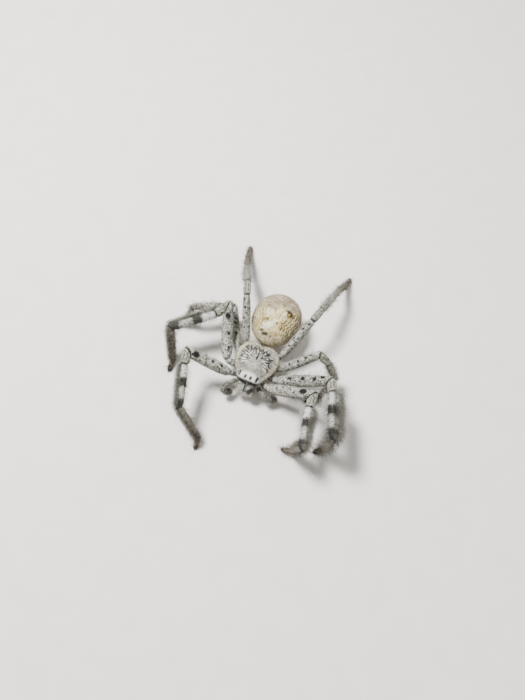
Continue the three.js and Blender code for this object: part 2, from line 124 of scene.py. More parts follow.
# %% [markdown]
# ## Colours and nodes
# Colours are written as sRGB hex values, the way a paint or screen colour is, and one function
# turns them into the linear values that the shader wants. One more function adds a node together
# with its settings and its links, so that a material reads as a list of what it is made from.

# %% Colour and node helpers


def linear(hex_colour):
    parts = [int(hex_colour[i:i + 2], 16) / 255 for i in (1, 3, 5)]
    shades = [c / 12.92 if c <= 0.04045 else ((c + 0.055) / 1.055) ** 2.4 for c in parts]
    return (*shades, 1.0)


def add_node(tree, kind, inputs=None, **settings):
    made = tree.nodes.new(kind)
    for name, value in settings.items():
        setattr(made, name, value)
    for name, value in (inputs or {}).items():
        if isinstance(value, bpy.types.NodeSocket):
            tree.links.new(value, made.inputs[name])
        else:
            made.inputs[name].default_value = value
    return made


# A colour Mix node keeps its factor, its two colours and its result at these places
MIX_FACTOR, MIX_A, MIX_B, MIX_RESULT = 0, 6, 7, 2


def blended(tree, factor, first, second, mode="MIX"):
    inputs = {MIX_FACTOR: factor, MIX_A: first, MIX_B: second}
    mix = add_node(tree, "ShaderNodeMix", inputs, data_type="RGBA", blend_type=mode)
    return mix.outputs[MIX_RESULT]


def grain(tree, size_mm, detail=2.0, low=0.35, high=0.65, stretch=None):
    """A noise that runs from 0 to 1, with blotches of about this size."""
    place = add_node(tree, "ShaderNodeTexCoord").outputs["Object"]
    if stretch:
        place = add_node(tree, "ShaderNodeMapping", {"Vector": place, "Scale": stretch}).outputs["Vector"]
    noise = add_node(tree, "ShaderNodeTexNoise", {
        "Vector": place, "Scale": 1.0 / (size_mm * MM), "Detail": detail, "Roughness": 0.55,
    })
    spread = add_node(tree, "ShaderNodeMapRange", {
        "Value": noise.outputs["Fac"], "From Min": low, "From Max": high,
    })
    return spread.outputs["Result"]


def dots(tree, spacing_mm, radius_mm, soft_mm):
    """Small round dots, about this far apart. The result is 1 on a dot."""
    place = add_node(tree, "ShaderNodeTexCoord").outputs["Object"]
    cells = add_node(tree, "ShaderNodeTexVoronoi", {
        "Vector": place, "Scale": 1.0 / (spacing_mm * MM), "Randomness": 0.85,
    })
    edge = add_node(tree, "ShaderNodeMapRange", {
        "Value": cells.outputs["Distance"],
        "From Min": (radius_mm + soft_mm) / spacing_mm, "From Max": radius_mm / spacing_mm,
        "To Min": 0.0, "To Max": 1.0,
    })
    return edge.outputs["Result"]


def times(tree, first, second):
    product = add_node(tree, "ShaderNodeMath", {0: first, 1: second}, operation="MULTIPLY")
    return product.outputs["Value"]


def marking(tree, name):
    return add_node(tree, "ShaderNodeAttribute", attribute_name=name).outputs["Fac"]


CLEAR_COAT_ROUGHNESS = 0.12
SHEEN_ROUGHNESS = 0.45


def finish(name, colour_of, roughness, bump_of=None, specular=0.4, coat=0.0, sheen=0.0):
    """A material whose colour and bump are made by functions that take its node tree."""
    material = bpy.data.materials.new(name)
    material.use_nodes = True
    tree = material.node_tree
    shader = tree.nodes["Principled BSDF"]
    tree.links.new(colour_of(tree), shader.inputs["Base Color"])
    shader.inputs["Roughness"].default_value = roughness
    shader.inputs["Specular IOR Level"].default_value = specular
    shader.inputs["Coat Weight"].default_value = coat
    shader.inputs["Coat Roughness"].default_value = CLEAR_COAT_ROUGHNESS
    shader.inputs["Sheen Weight"].default_value = sheen
    shader.inputs["Sheen Roughness"].default_value = SHEEN_ROUGHNESS
    if bump_of:
        height, depth_mm = bump_of(tree)
        bump = add_node(tree, "ShaderNodeBump", {
            "Height": height, "Distance": depth_mm * MM, "Strength": 1.0,
        })
        tree.links.new(bump.outputs["Normal"], shader.inputs["Normal"])
    return material


print("a mid grey #808080 is", round(linear("#808080")[0], 3), "in linear light")

# %% [markdown]
# ## Skins from grids
# Every soft part of the spider is a closed skin: a leg is a long tube, the abdomen an egg, the
# carapace a shallow dome. A subdivided cube with sculpted loops would do, but each of these
# shapes is easiest to give as "this far along, this far round". So a bmesh grid is made, its
# points are moved to where the shape wants them, its two long edges and its ends are merged,
# and the normals are recalculated. The same table of points later tells the hair where to grow.

# %% Make a skin from a table of points
MERGE_DISTANCE = 0.0005 * MM


def make_skin(name, points, marks, material):
    """points is a table [ring along, step round, xyz] in mm, whose first and last step coincide
    and whose first and last ring each shrink to one point. marks are tables of the same size."""
    rings, steps = points.shape[:2]
    shape = bmesh.new()
    bmesh.ops.create_grid(shape, x_segments=steps - 1, y_segments=rings - 1, size=1.0)
    mesh = bpy.data.meshes.new(name)
    shape.to_mesh(mesh)
    place = np.empty(len(mesh.vertices) * 3)
    mesh.vertices.foreach_get("co", place)
    place = place.reshape(-1, 3)
    step = np.rint((place[:, 0] + 1) / 2 * (steps - 1)).astype(int)
    ring = np.rint((place[:, 1] + 1) / 2 * (rings - 1)).astype(int)
    mesh.vertices.foreach_set("co", in_frame(points[ring, step]).ravel())
    for mark, values in marks.items():
        layer = mesh.attributes.new(mark, "FLOAT", "POINT")
        layer.data.foreach_set("value", values[ring, step].astype(np.float32))
    shape.clear()
    shape.from_mesh(mesh)
    bmesh.ops.remove_doubles(shape, verts=shape.verts, dist=MERGE_DISTANCE)
    bmesh.ops.recalc_face_normals(shape, faces=shape.faces)
    for face in shape.faces:
        face.smooth = True
    shape.to_mesh(mesh)
    shape.free()
    mesh.materials.append(material)
    skin = bpy.data.objects.new(name, mesh)
    bpy.context.scene.collection.objects.link(skin)
    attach(skin, "root")
    return skin


def outward_normals(points):
    """The outward direction at each point of a table whose steps run round a ring."""
    along = np.gradient(points, axis=0)
    ring = points[:, :-1]
    around = 0.5 * (np.roll(ring, -1, axis=1) - np.roll(ring, 1, axis=1))
    around = np.concatenate([around, around[:, :1]], axis=1)
    normals = np.cross(around, along)
    centre = ring.mean(axis=1, keepdims=True)
    outside = np.sum(normals * (points - centre))
    return unit(normals * (1.0 if outside > 0 else -1.0))


def through(values, t, power=0.25):
    """A smooth curve through the given values, each reached at an equal step of t from 0 to 1.
    A power of 0.25 keeps it free of loops, and 0 suits a row of sizes."""
    values = np.asarray(values, float)
    values = np.vstack([2 * values[0] - values[1], values, 2 * values[-1] - values[-2]])
    t = np.clip(np.asarray(t, float), 0, 1) * (len(values) - 3)
    i = np.minimum(t.astype(int), len(values) - 4)
    w = (t - i)[:, None]
    p0, p1, p2, p3 = (values[i + k] for k in range(4))
    d0, d1, d2 = (
        np.maximum(np.sum((b - a) ** 2, axis=1, keepdims=True) ** power, 1e-6)
        for a, b in ((p0, p1), (p1, p2), (p2, p3))
    )
    t1 = ((p1 - p0) / d0 - (p2 - p0) / (d0 + d1) + (p2 - p1) / d1) * d1
    t2 = ((p2 - p1) / d1 - (p3 - p1) / (d1 + d2) + (p3 - p2) / d2) * d1
    return (
        p1 + t1 * w + (3 * (p2 - p1) - 2 * t1 - t2) * w ** 2 + (2 * (p1 - p2) + t1 + t2) * w ** 3
    )


def carried_frames(centres, first_side):
    """Directions along, to the side and up for each point of a path, turned no more than the path."""
    along = unit(np.gradient(centres, axis=0))
    sides = [unit(first_side - along[0] * np.dot(first_side, along[0]))]
    for direction in along[1:]:
        sides.append(unit(sides[-1] - direction * np.dot(sides[-1], direction)))
    sides = np.array(sides)
    return along, sides, np.cross(along, sides)


def round_steps(count):
    return np.linspace(0, 2 * math.pi, count + 1)


def tube(centres, widths, heights, around):
    """A table of points for a limb with these half widths and half heights along its path."""
    side = np.cross([0.0, 0.0, 1.0], centres[1] - centres[0])
    _, sides, ups = carried_frames(centres, unit(side))
    turns = round_steps(around)[None, :, None]
    return (
        centres[:, None]
        + sides[:, None] * np.cos(turns) * widths[:, None, None]
        + ups[:, None] * np.sin(turns) * heights[:, None, None]
    )


# %% [markdown]
# ## Legs: the joints
# A spider's leg has a short hip, then femur, patella, tibia, metatarsus and tarsus. The stance is
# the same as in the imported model: where each femur starts, and the bearing and slope of every
# segment, in degrees. The slope of the metatarsus isn't given, because the foot has to reach the
# ground, so it is worked out from the height of the ankle.

# %% Stance and lengths
LENGTHS = {
    1: (12.0, 3.2, 10.2, 9.3, 3.3),
    2: (13.2, 3.6, 11.6, 9.8, 3.4),
    3: (11.4, 3.4, 7.4, 7.0, 3.0),
    4: (11.8, 4.0, 10.0, 9.8, 3.2),
}
# Radius of coxa, femur, patella, tibia, metatarsus and tarsus
RADII = {
    1: (0.94, 1.5, 1.22, 1.15, 0.84, 0.66),
    2: (0.97, 1.55, 1.27, 1.2, 0.86, 0.68),
    3: (0.87, 1.2, 1.08, 1.02, 0.76, 0.6),
    4: (0.87, 1.12, 1.05, 1.0, 0.74, 0.6),
}
STANCE = {
    "left_1": ((5.5, -4.9, 5.7), (3, -86, -80, 151, 178), (24, 0, 4, -40)),
    "left_2": ((6.8, -2.1, 5.8), (15, -66, -71, 180, -155), (17, 21, 6, -40)),
    "left_3": ((6.4, 1.2, 5.8), (26, -4, 0, -112, -150), (40, -40, -68, -10)),
    "left_4": ((5.1, 4.6, 5.7), (66, 76, 79, 83, 83), (31, -2, -20, -30)),
    "right_1": ((-5.2, -4.9, 5.7), (-171, -79, -72, -28, -89), (31, -5, -18, -40)),
    "right_2": ((-7.2, -1.7, 5.9), (113, -121, -140, -67, -87), (26, -9, -6, -14)),
    "right_3": ((-6.1, 2.3, 5.6), (119, -150, -149, -138, -150), (4, 17, 7, -29)),
    "right_4": ((-4.8, 4.7, 5.7), (113, 111, 114, 108, 104), (36, -4, -33, -30)),
}
TARSUS_GIRTH = ((0.12, 1.06), (0.5, 1.04), (0.85, 0.95), (1.0, 0.6))
FOOT_PRESS = 0.12


def pointing(bearing, slope):
    b, s = math.radians(bearing), math.radians(slope)
    return np.array([math.cos(b) * math.cos(s), math.sin(b) * math.cos(s), math.sin(s)])


def foot_height(name):
    """Height of the tip of the foot when the fullest place under it is pressed on the ground."""
    pair, slope = int(name[-1]), math.radians(-STANCE[name][2][3])
    lowest = max(
        RADII[pair][5] * girth * math.cos(slope) - LENGTHS[pair][4] * (1 - share) * math.sin(slope)
        for share, girth in TARSUS_GIRTH
    )
    return lowest - FOOT_PRESS


def leg_joints(name):
    hip, bearings, slopes = STANCE[name]
    femur, patella, tibia, metatarsus, tarsus = LENGTHS[int(name[-1])]
    joints = [np.array(hip)]
    for length, bearing, slope in zip((femur, patella, tibia), bearings, slopes):
        joints.append(joints[-1] + length * pointing(bearing, slope))
    toe = tarsus * pointing(bearings[4], slopes[3])
    drop = joints[-1][2] + toe[2] - foot_height(name)
    slope = -math.degrees(math.asin(min(1.0, drop / metatarsus)))
    joints.append(joints[-1] + metatarsus * pointing(bearings[3], slope))
    joints.append(joints[-1] + toe)
    return np.array(joints)


knee_heights = [leg_joints(name)[1][2] for name in STANCE]
print("knees stand", round(min(knee_heights), 1), "to", round(max(knee_heights), 1), "mm high")

# %% [markdown]
# ## Legs: the skin
# Each leg is one tube. Its rings are cut by the plane that halves the bend at a joint, as the
# corner of a picture frame is, so the tube keeps its thickness round the sharp knees. A shallow
# groove at each joint shows where one hard segment ends and the next begins. The skin lies a
# tenth of a millimetre inside the solid, which is the depth of the coat.

# %% Shape of a leg
COAT_DEPTH = 0.1
LEG_AROUND = 56
SHAPES = (
    ((0, 0.68), (0.05, 0.8), (0.2, 0.96), (0.45, 1.02), (0.7, 0.97), (0.94, 0.87), (1, 0.8)),
    ((0, 0.86), (0.14, 0.96), (0.5, 1.01), (0.86, 0.95), (1, 0.86)),
    ((0, 0.84), (0.06, 0.93), (0.3, 1.0), (0.65, 0.94), (0.94, 0.85), (1, 0.8)),
    ((0, 0.94), (0.07, 1.02), (0.4, 0.99), (1, 0.86)),
    ((0, 1.02), (0.5, 1.03), (0.85, 0.93), (0.96, 0.72), (1, 0.42)),
)
CREASE_DEPTH = (0.2, 0.16, 0.16, 0.13, 0.08)
CREASE_LENGTH = 0.2
# Distances in mm from a joint where extra rings are put
NEAR_JOINT = (0.0, 0.07, 0.15, 0.24, 0.36, 0.52, 0.75, 1.0)
RING_SPACING = 0.24
# Where the coxae leave the chest, pair by pair, and how steeply they rise to the femur in degrees
COXA_ROOT_Y = (-2.9, -1.0, 0.95, 2.9)
COXA_ROOT_X = 2.5
COXA_ROOT_Z = 4.7
COXA_RISE = 30
COXA_RINGS = 22
# No point of a skin goes lower than this
LOWEST = 0.015
COXA, FEMUR, PATELLA, TIBIA, METATARSUS, TARSUS = range(6)


def ring_shares(length):
    near = np.array(NEAR_JOINT)
    middle = np.arange(near[-1] + RING_SPACING, length - near[-1], RING_SPACING)
    return np.concatenate([near, middle, length - near[::-1]]) / length


def hip_path(name, hip, femur_aim):
    """The coxa leaves the chest near the sternum, and rises as it reaches the femur."""
    mirror = 1.0 if name.startswith("left") else -1.0
    inner = np.array([COXA_ROOT_X * mirror, COXA_ROOT_Y[int(name[-1]) - 1], COXA_ROOT_Z])
    outward = unit((hip - inner) * [1, 1, 0])
    rise = math.radians(COXA_RISE)
    arrival = unit(outward + unit(femur_aim * [1, 1, 0]))
    arrival = arrival * math.cos(rise) + np.array([0, 0, math.sin(rise)])
    reach = np.linalg.norm(hip - inner)
    handles = (inner, inner + 0.35 * reach * outward, hip - 0.4 * reach * arrival, hip)
    t = np.linspace(0, 1, COXA_RINGS)[:, None]
    weights = ((1 - t) ** 3, 3 * t * (1 - t) ** 2, 3 * t ** 2 * (1 - t), t ** 3)
    return sum(w * h for w, h in zip(weights, handles)), arrival


def leg_surface(name):
    """The tables of a leg: its points, then for each ring the segment, the share of the way along
    it and its heading, then for each point the true share of the way, and the lengths."""
    radii = RADII[int(name[-1])]
    joints = leg_joints(name)
    aims = unit(np.diff(joints, axis=0))
    lengths = np.linalg.norm(np.diff(joints, axis=0), axis=1)
    path, arrival = hip_path(name, joints[0], aims[0])
    planes = [unit(arrival + aims[0])]
    planes += [unit(aims[k] + aims[k + 1]) for k in range(4)] + [aims[4]]
    turns = round_steps(LEG_AROUND)

    rows, segments, shares, heading, axial = [], [], [], [], []
    along, sides, ups = carried_frames(path, np.cross([0, 0, 1], path[1] - path[0]))
    for k, centre in enumerate(path):
        t = k / (len(path) - 1)
        radius = radii[COXA] * np.interp(t, (0, 0.6, 0.9, 1), (0.78, 1.0, 0.94, 0.86)) - COAT_DEPTH
        radius *= 1 - 0.1 * math.exp(-((t - 0.74) / 0.035) ** 2)
        offset = radius * (sides[k] * np.cos(turns)[:, None] + ups[k] * np.sin(turns)[:, None])
        rows.append(centre + offset)
        segments.append(COXA)
        shares.append(t)
        heading.append(along[k])
        axial.append(t + 0 * turns)
    rows[0] = np.repeat(path[:1], len(turns), axis=0)
    side = sides[-1]
    for part in range(5):
        side = unit(side - aims[part] * np.dot(side, aims[part]))
        up = np.cross(aims[part], side)
        for share in ring_shares(lengths[part]):
            radius = radii[part + 1] * np.interp(share, *zip(*SHAPES[part])) - COAT_DEPTH
            near = min(share, 1 - share if part < 4 else 1) * lengths[part]
            radius *= 1 - CREASE_DEPTH[part] * math.exp(-(near / CREASE_LENGTH) ** 2)
            offset = radius * (side * np.cos(turns)[:, None] + up * np.sin(turns)[:, None])
            limit = 1.3 * radius
            first = -(offset @ planes[part]) / np.dot(aims[part], planes[part])
            last = -(offset @ planes[part + 1]) / np.dot(aims[part], planes[part + 1])
            first = np.maximum(first, -limit)
            last = np.minimum(last, limit) + lengths[part]
            travel = (first + (last - first) * share)[:, None]
            rows.append(joints[part] + offset + aims[part] * travel)
            segments.append(part + 1)
            shares.append(share)
            heading.append(aims[part])
            axial.append(travel[:, 0] / lengths[part])
    rows.append(np.repeat(rows[-1].mean(axis=0, keepdims=True), len(turns), axis=0))
    segments.append(TARSUS)
    shares.append(1.0)
    heading.append(aims[4])
    axial.append(1.0 + 0 * turns)

    points = np.array(rows)
    segments = np.array(segments)
    shares = np.array(shares)
    heading = np.array(heading)
    soften_corners(points, segments)
    points[..., 2] = np.maximum(points[..., 2], LOWEST)
    return points, segments, shares, heading, np.array(axial), lengths


def soften_corners(points, segments, rounds=6):
    """Rounds the sharp corner that two cut tubes make at a joint."""
    changes = np.flatnonzero(np.diff(segments)) + 1
    near = np.zeros(len(points), bool)
    for change in changes[1:]:
        near[change - 6:change + 6] = True
    near[:1] = near[-1:] = False
    rows = np.flatnonzero(near)
    for _ in range(rounds):
        points[rows] = 0.5 * points[rows] + 0.25 * (points[rows - 1] + points[rows + 1])


# %% [markdown]
# ## Legs: the markings
# The ground colour is a pale grey-white. Round black spots stand in a row on each femur, a dark
# line crosses each joint, and toward the foot the leg turns brown. The first two pairs also carry
# a white patch and dark bands on the inner side of the tibia. The under mark is painted shade: it
# darkens the lower side and flanks of the leg from the coxa to the tibia. Each kind of mark is one
# number from 0 to 1 at every point of the skin, and the hair copies the number where it grows.

# %% Markings of a leg
# For each leg: share of the femur, degrees from the top toward the head, and radius in mm
FEMUR_SPOTS = {
    "left_1": ((0.22, 5, 0.26), (0.36, -5, 0.3), (0.53, 0, 0.28), (0.62, 25, 0.24), (0.8, -8, 0.98)),
    "left_2": ((0.25, 0, 0.5), (0.49, 0, 0.58), (0.71, 0, 0.58), (0.86, -32, 0.62)),
    "left_3": ((0.27, 0, 0.38), (0.5, 5, 0.4), (0.71, 0, 0.4), (0.84, -10, 0.34)),
    "left_4": ((0.28, 0, 0.32), (0.47, -25, 0.34), (0.75, -10, 0.34), (0.9, 10, 0.34)),
    "right_1": ((0.24, 0, 0.42), (0.46, 0, 0.46), (0.62, 10, 0.26), (0.84, 5, 1.0)),
    "right_2": ((0.2, -20, 0.48), (0.47, -15, 0.52), (0.8, -5, 0.95)),
    "right_3": ((0.3, 0, 0.36), (0.55, 0, 0.36), (0.8, 0, 0.36)),
    "right_4": ((0.3, 30, 0.28), (0.52, 40, 0.34), (0.74, 20, 0.32), (0.9, 40, 0.34)),
}


# Bands on the tibia of the first two pairs: start, end and soft edge as shares of it, and strength
TIBIA_WHITE = ((0.04, 0.29, 0.03, 0.75), (0.56, 0.78, 0.05, 0.3))
TIBIA_DARK = ((0.32, 0.52, 0.025, 0.9), (0.82, 1.2, 0.025, 0.9))
# How brown the metatarsus of each pair starts
BROWN_FROM = {1: 0.6, 2: 0.6, 3: 0.5, 4: 0.7}


def smooth(low, high, values):
    t = np.clip((np.asarray(values, float) - low) / (high - low), 0, 1)
    return t * t * (3 - 2 * t)


def band(values, start, end, soft):
    return smooth(start - soft, start + soft, values) * (1 - smooth(end - soft, end + soft, values))


def leg_marks(name, points, segments, shares, heading, axial, lengths):
    pair = int(name[-1])
    mirror = 1.0 if name.startswith("left") else -1.0
    centre = points[:, :-1].mean(axis=1, keepdims=True)
    out = unit(points - centre)
    level = unit(np.cross([0.0, 0.0, 1.0], heading))
    upper = np.cross(heading, level)
    top = np.sum(out * upper[:, None], axis=2)
    flank = np.sum(out * level[:, None], axis=2)
    ahead = np.sign(-level[:, 1])[:, None]
    inner = np.sign(-mirror * level[:, 0])[:, None]
    girth = np.linalg.norm(points - centre, axis=2)
    turn = np.degrees(np.arctan2(flank * ahead, top))
    segment = segments[:, None] + 0 * top
    share = shares[:, None] + 0 * top

    dark = np.zeros_like(top)
    for at, angle, radius in FEMUR_SPOTS[name]:
        step = (axial - at) * lengths[0]
        across = np.radians((turn - angle + 180) % 360 - 180) * girth
        spot = 1 - smooth(radius * 0.75, radius * 1.15, np.hypot(step, across))
        dark = np.maximum(dark, spot * (segment == FEMUR))
    ends = np.array([1.0, *lengths])[segments][:, None]
    from_start = share * ends
    from_end = (1 - share) * ends
    line = np.zeros_like(top)
    for part, reach in ((FEMUR, 0.34), (PATELLA, 0.24), (TIBIA, 0.2), (METATARSUS, 0.16)):
        line = np.maximum(line, (segment == part) * (1 - smooth(0.4 * reach, reach, from_end)))
        line = np.maximum(line, (segment == part + 1) * (1 - smooth(0.4 * reach, reach, from_start)))
    line = np.maximum(line, (segment == COXA) * band(share, 0.715, 0.765, 0.02))

    white, warm = np.zeros_like(top), np.zeros_like(top)
    inner_side = smooth(-0.3, 0.15, flank * inner + 0.35 * top)
    if pair <= 2:
        front = (segment == TIBIA) * inner_side
        for start, end, soft, strength in TIBIA_WHITE:
            white = np.maximum(white, front * (strength * band(axial, start, end, soft)))
        for start, end, soft, strength in TIBIA_DARK:
            dark = np.maximum(dark, strength * front * band(axial, start, end, soft))
        outer_side = smooth(0.0, 0.45, -flank * inner)
        warm = np.maximum(warm, 0.5 * (segment == TIBIA) * outer_side)
    brown = BROWN_FROM[pair]
    warm = np.maximum(warm, (segment == METATARSUS) * (brown + (1 - brown) * share))
    warm = np.maximum(warm, (segment == TARSUS) * 1.0)
    warm = np.maximum(warm, 0.4 * (segment == TIBIA) * smooth(0.5, 1.0, share) * (pair > 2))
    green = 0.7 * (segment == PATELLA) * (1 - 0.5 * smooth(0.2, 0.9, np.abs(flank)))
    streaks = band(np.abs(turn), 12, 28, 5) * band(axial, 0.12, 0.86, 0.05)
    dark = np.maximum(dark, 0.6 * (segment == PATELLA) * streaks)
    foot_pad = np.isin(segment, (METATARSUS, TARSUS)) * smooth(0.2, 0.7, -top)
    dark = np.maximum(dark, 0.8 * foot_pad)
    dark = np.maximum(dark, 0.6 * (segment == TARSUS) * smooth(0.4, 0.9, share))
    # Painted shade on the lower side and flanks of the coxa, femur, patella and tibia
    under = smooth(-0.6, 0.35, -top) * (segment < METATARSUS)
    marks = {"dark": dark, "line": line, "white": white, "warm": warm, "green": green, "under": under}
    return {key: value.astype(float) for key, value in marks.items()}


# %% [markdown]
# ## Legs: the finish
# The leg is a thin brown-grey cuticle under a pile of very short pale hairs, which scatters light
# like velvet: high roughness, hardly any highlight, and a little sheen at grazing angles. The
# speckle is drawn in the object's own space, so skin and hair share it.

# %% Velvet of the legs


def leg_colour(tree):
    pale = blended(tree, grain(tree, 0.8, low=0.42, high=0.58), linear("#B2B1A4"), linear("#7A796F"))
    pale = blended(tree, marking(tree, "green"), pale, linear("#94987F"))
    # Painted shade: the under mark darkens the lower side of the leg
    pale = blended(tree, marking(tree, "under"), pale, linear("#524E45"))
    bright = times(tree, grain(tree, 0.5, low=0.54, high=0.6), 0.5)
    pale = blended(tree, bright, pale, linear("#D9D9D0"))
    fine = times(tree, grain(tree, 0.3, low=0.51, high=0.59), 0.75)
    pale = blended(tree, fine, pale, linear("#48453E"))
    brown = blended(tree, grain(tree, 0.6, low=0.4, high=0.6), linear("#776F63"), linear("#3D352D"))
    colour = blended(tree, marking(tree, "warm"), pale, brown)
    white = times(tree, marking(tree, "white"), grain(tree, 0.5, low=0.25, high=0.42))
    colour = blended(tree, white, colour, linear("#DEDEDA"))
    speckle = times(tree, dots(tree, 0.95, 0.19, 0.05), 0.95)
    colour = blended(tree, speckle, colour, linear("#161412"))
    freckle = times(tree, dots(tree, 0.55, 0.1, 0.05), 0.75)
    colour = blended(tree, freckle, colour, linear("#2E2B26"))
    colour = blended(tree, marking(tree, "dark"), colour, linear("#100E0D"))
    return blended(tree, times(tree, marking(tree, "line"), 0.9), colour, linear("#171411"))


def pile_bump(tree):
    return grain(tree, 0.12, detail=3.0, low=0.3, high=0.7), 0.03


leg_velvet = finish("velvety_leg_cuticle", leg_colour, 0.8, pile_bump, specular=0.25, sheen=0.15)


HAIR_GLEAM = 0.45


def hair_colour_of(colour_of):
    """A hair takes the colour of the skin at its root, and some hairs are lighter than others."""

    def colour(tree):
        base = colour_of(tree)
        tone = marking(tree, "tone")
        lighter = blended(tree, HAIR_GLEAM, base, base, "ADD")
        return blended(tree, tone, base, lighter)

    return colour


leg_hair = finish("short_leg_hair", hair_colour_of(leg_colour), 0.65, specular=0.3)
print("leg materials:", leg_velvet.name, leg_hair.name)

# %% [markdown]
# ## Hair
# Particle hair doesn't survive an export, so each hair is a thin closed spike of solid mesh, made
# in one go from arrays. A short hair is a tall pyramid on a triangle, four faces in all. A long
# one bends, so it has a second triangle half way. Each hair lies along the lie of the coat, and
# every hair has its own small patch on the unwrap named OFBake, at its root's place.

# %% Grow hair on a skin
HAIR_SHARE = 1.0
# Side of a hair's patch on the unwrap, whose own side is 1
PATCH = 0.003
# How deep a root sits under the skin, in mm, and how far hairs stray from the lie, in radians
HAIR_SINK = 0.03
HAIR_STRAY = 0.25


def coat_base(points, marks, lie):
    """What grow() needs of a skin: its points, normals and marks, and the lie of the hair."""
    return {
        "points": points, "normals": outward_normals(points), "marks": marks,
        "lie": np.broadcast_to(lie, points.shape),
    }


def scatter(points, weight, count, dice):
    """Random places on a table of points: cell indices and the share of the way across each."""
    edge_a = points[1:, :-1] - points[:-1, :-1]
    edge_b = points[:-1, 1:] - points[:-1, :-1]
    area = np.linalg.norm(np.cross(edge_a, edge_b), axis=2) * weight[:-1, :-1]
    chances = np.cumsum(area.ravel())
    cells = np.searchsorted(chances, dice.random(count) * chances[-1])
    ring, step = np.unravel_index(np.minimum(cells, area.size - 1), area.shape)
    return ring, step, dice.random(count), dice.random(count)


def at_places(table, places):
    ring, step, down, over = places
    if table.ndim == 3:
        down, over = down[:, None], over[:, None]
    near = table[ring, step] * (1 - over) + table[ring, step + 1] * over
    far = table[ring + 1, step] * (1 - over) + table[ring + 1, step + 1] * over
    return near * (1 - down) + far * down


def grow(surface, weight, count, dice, length, width, lift, droop=0.0):
    """Hairs on a surface: a dictionary of arrays that hair_piece() turns into a mesh. Length and
    width are in mm, and lift is the hair's angle to the skin in degrees."""
    count = int(count * HAIR_SHARE)
    places = scatter(surface["points"], weight, count, dice)
    root = at_places(surface["points"], places)
    normal = unit(at_places(surface["normals"], places))
    lie = at_places(surface["lie"], places)
    lie = unit(lie - normal * np.sum(lie * normal, axis=1, keepdims=True))
    sway = dice.normal(0, HAIR_STRAY, count)[:, None]
    lie = unit(lie + sway * np.cross(normal, lie))
    angle = np.radians(np.clip(dice.normal(lift, 0.25 * lift, count), 3, 85))[:, None]
    aim = lie * np.cos(angle) + normal * np.sin(angle)
    long = (length * dice.uniform(0.65, 1.2, count))[:, None]
    tip = root + aim * long
    middle = root + aim * 0.5 * long + normal * droop * long
    rings, steps = surface["points"].shape[:2]
    ring, step, down, over = places
    unwrap = np.stack([(step + over) / (steps - 1), (ring + down) / (rings - 1)], axis=1)
    return {
        "root": root - normal * HAIR_SINK, "middle": middle, "tip": tip,
        "across": unit(np.cross(aim, normal)), "normal": normal,
        "width": (width * dice.uniform(0.7, 1.3, count))[:, None],
        "bent": droop > 0, "unwrap": unwrap, "tone": dice.random(count),
        "marks": {key: at_places(table, places) for key, table in surface["marks"].items()},
    }


def hair_piece(name, groups, material):
    """One mesh from several groups of hairs."""
    corners, triangles, patches, tones, marks = [], [], [], [], {}
    offset = 0
    for hairs in groups:
        count = len(hairs["root"])
        aim = unit(hairs["tip"] - hairs["root"])
        side = hairs["across"]
        other = np.cross(aim, side)
        levels = [(hairs["root"], 1.0)] + ([(hairs["middle"], 0.7)] if hairs["bent"] else [])
        layers = []
        for place, share in levels:
            for turn in (0, 2 * math.pi / 3, 4 * math.pi / 3):
                spoke = side * math.cos(turn) + other * math.sin(turn)
                layers.append(place + spoke * hairs["width"] * 0.5 * share)
        layers.append(hairs["tip"])
        cloud = np.stack(layers, axis=1)
        each = cloud.shape[1]
        faces = [(0, 2, 1)]
        if hairs["bent"]:
            for a, b in ((0, 1), (1, 2), (2, 0)):
                faces += [(a, b, b + 3), (a, b + 3, a + 3)]
            faces += [(3, 4, 6), (4, 5, 6), (5, 3, 6)]
        else:
            faces += [(0, 1, 3), (1, 2, 3), (2, 0, 3)]
        faces = np.array(faces)
        start = (offset + each * np.arange(count))[:, None, None]
        corners.append(cloud.reshape(-1, 3))
        triangles.append((faces[None] + start).reshape(-1, 3))
        spot = np.array([(0, 0), (1, 0), (0.5, 0.5)] * len(levels) + [(0.5, 1)]) * PATCH
        patch = np.clip(hairs["unwrap"][:, None], 0, 1 - PATCH) + spot[None]
        patches.append(patch.reshape(-1, 2))
        tones.append(np.repeat(hairs["tone"], each))
        for key, values in hairs["marks"].items():
            marks.setdefault(key, []).append(np.repeat(values, each))
        offset += each * count
    corners = in_frame(np.concatenate(corners))
    corners[:, 2] = np.maximum(corners[:, 2], 0.0)
    triangles = np.concatenate(triangles)
    mesh = bpy.data.meshes.new(name)
    mesh.vertices.add(len(corners))
    mesh.vertices.foreach_set("co", corners.ravel())
    mesh.loops.add(triangles.size)
    mesh.loops.foreach_set("vertex_index", triangles.ravel().astype(np.int32))
    mesh.polygons.add(len(triangles))
    mesh.polygons.foreach_set("loop_start", np.arange(0, triangles.size, 3, dtype=np.int32))
    mesh.update(calc_edges=True)
    unwrap = mesh.uv_layers.new(name="OFBake")
    unwrap.data.foreach_set("uv", np.concatenate(patches)[triangles.ravel()].ravel())
    for key, values in {"tone": tones, **marks}.items():
        layer = mesh.attributes.new(key, "FLOAT", "POINT")
        layer.data.foreach_set("value", np.concatenate(values).astype(np.float32))
    mesh.materials.append(material)
    piece = bpy.data.objects.new(name, mesh)
    bpy.context.scene.collection.objects.link(piece)
    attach(piece, "root")
    print(name, "has", len(triangles), "triangles")
    return piece


# %% [markdown]
# ## Spines
# A huntsman's legs carry stiff dark spines that stand out among the hair, in pairs along the
# femur, tibia and metatarsus, and two small claws at the end of each foot. The table below gives
# each spine its place: how far along the segment, and how many degrees round it from its top.

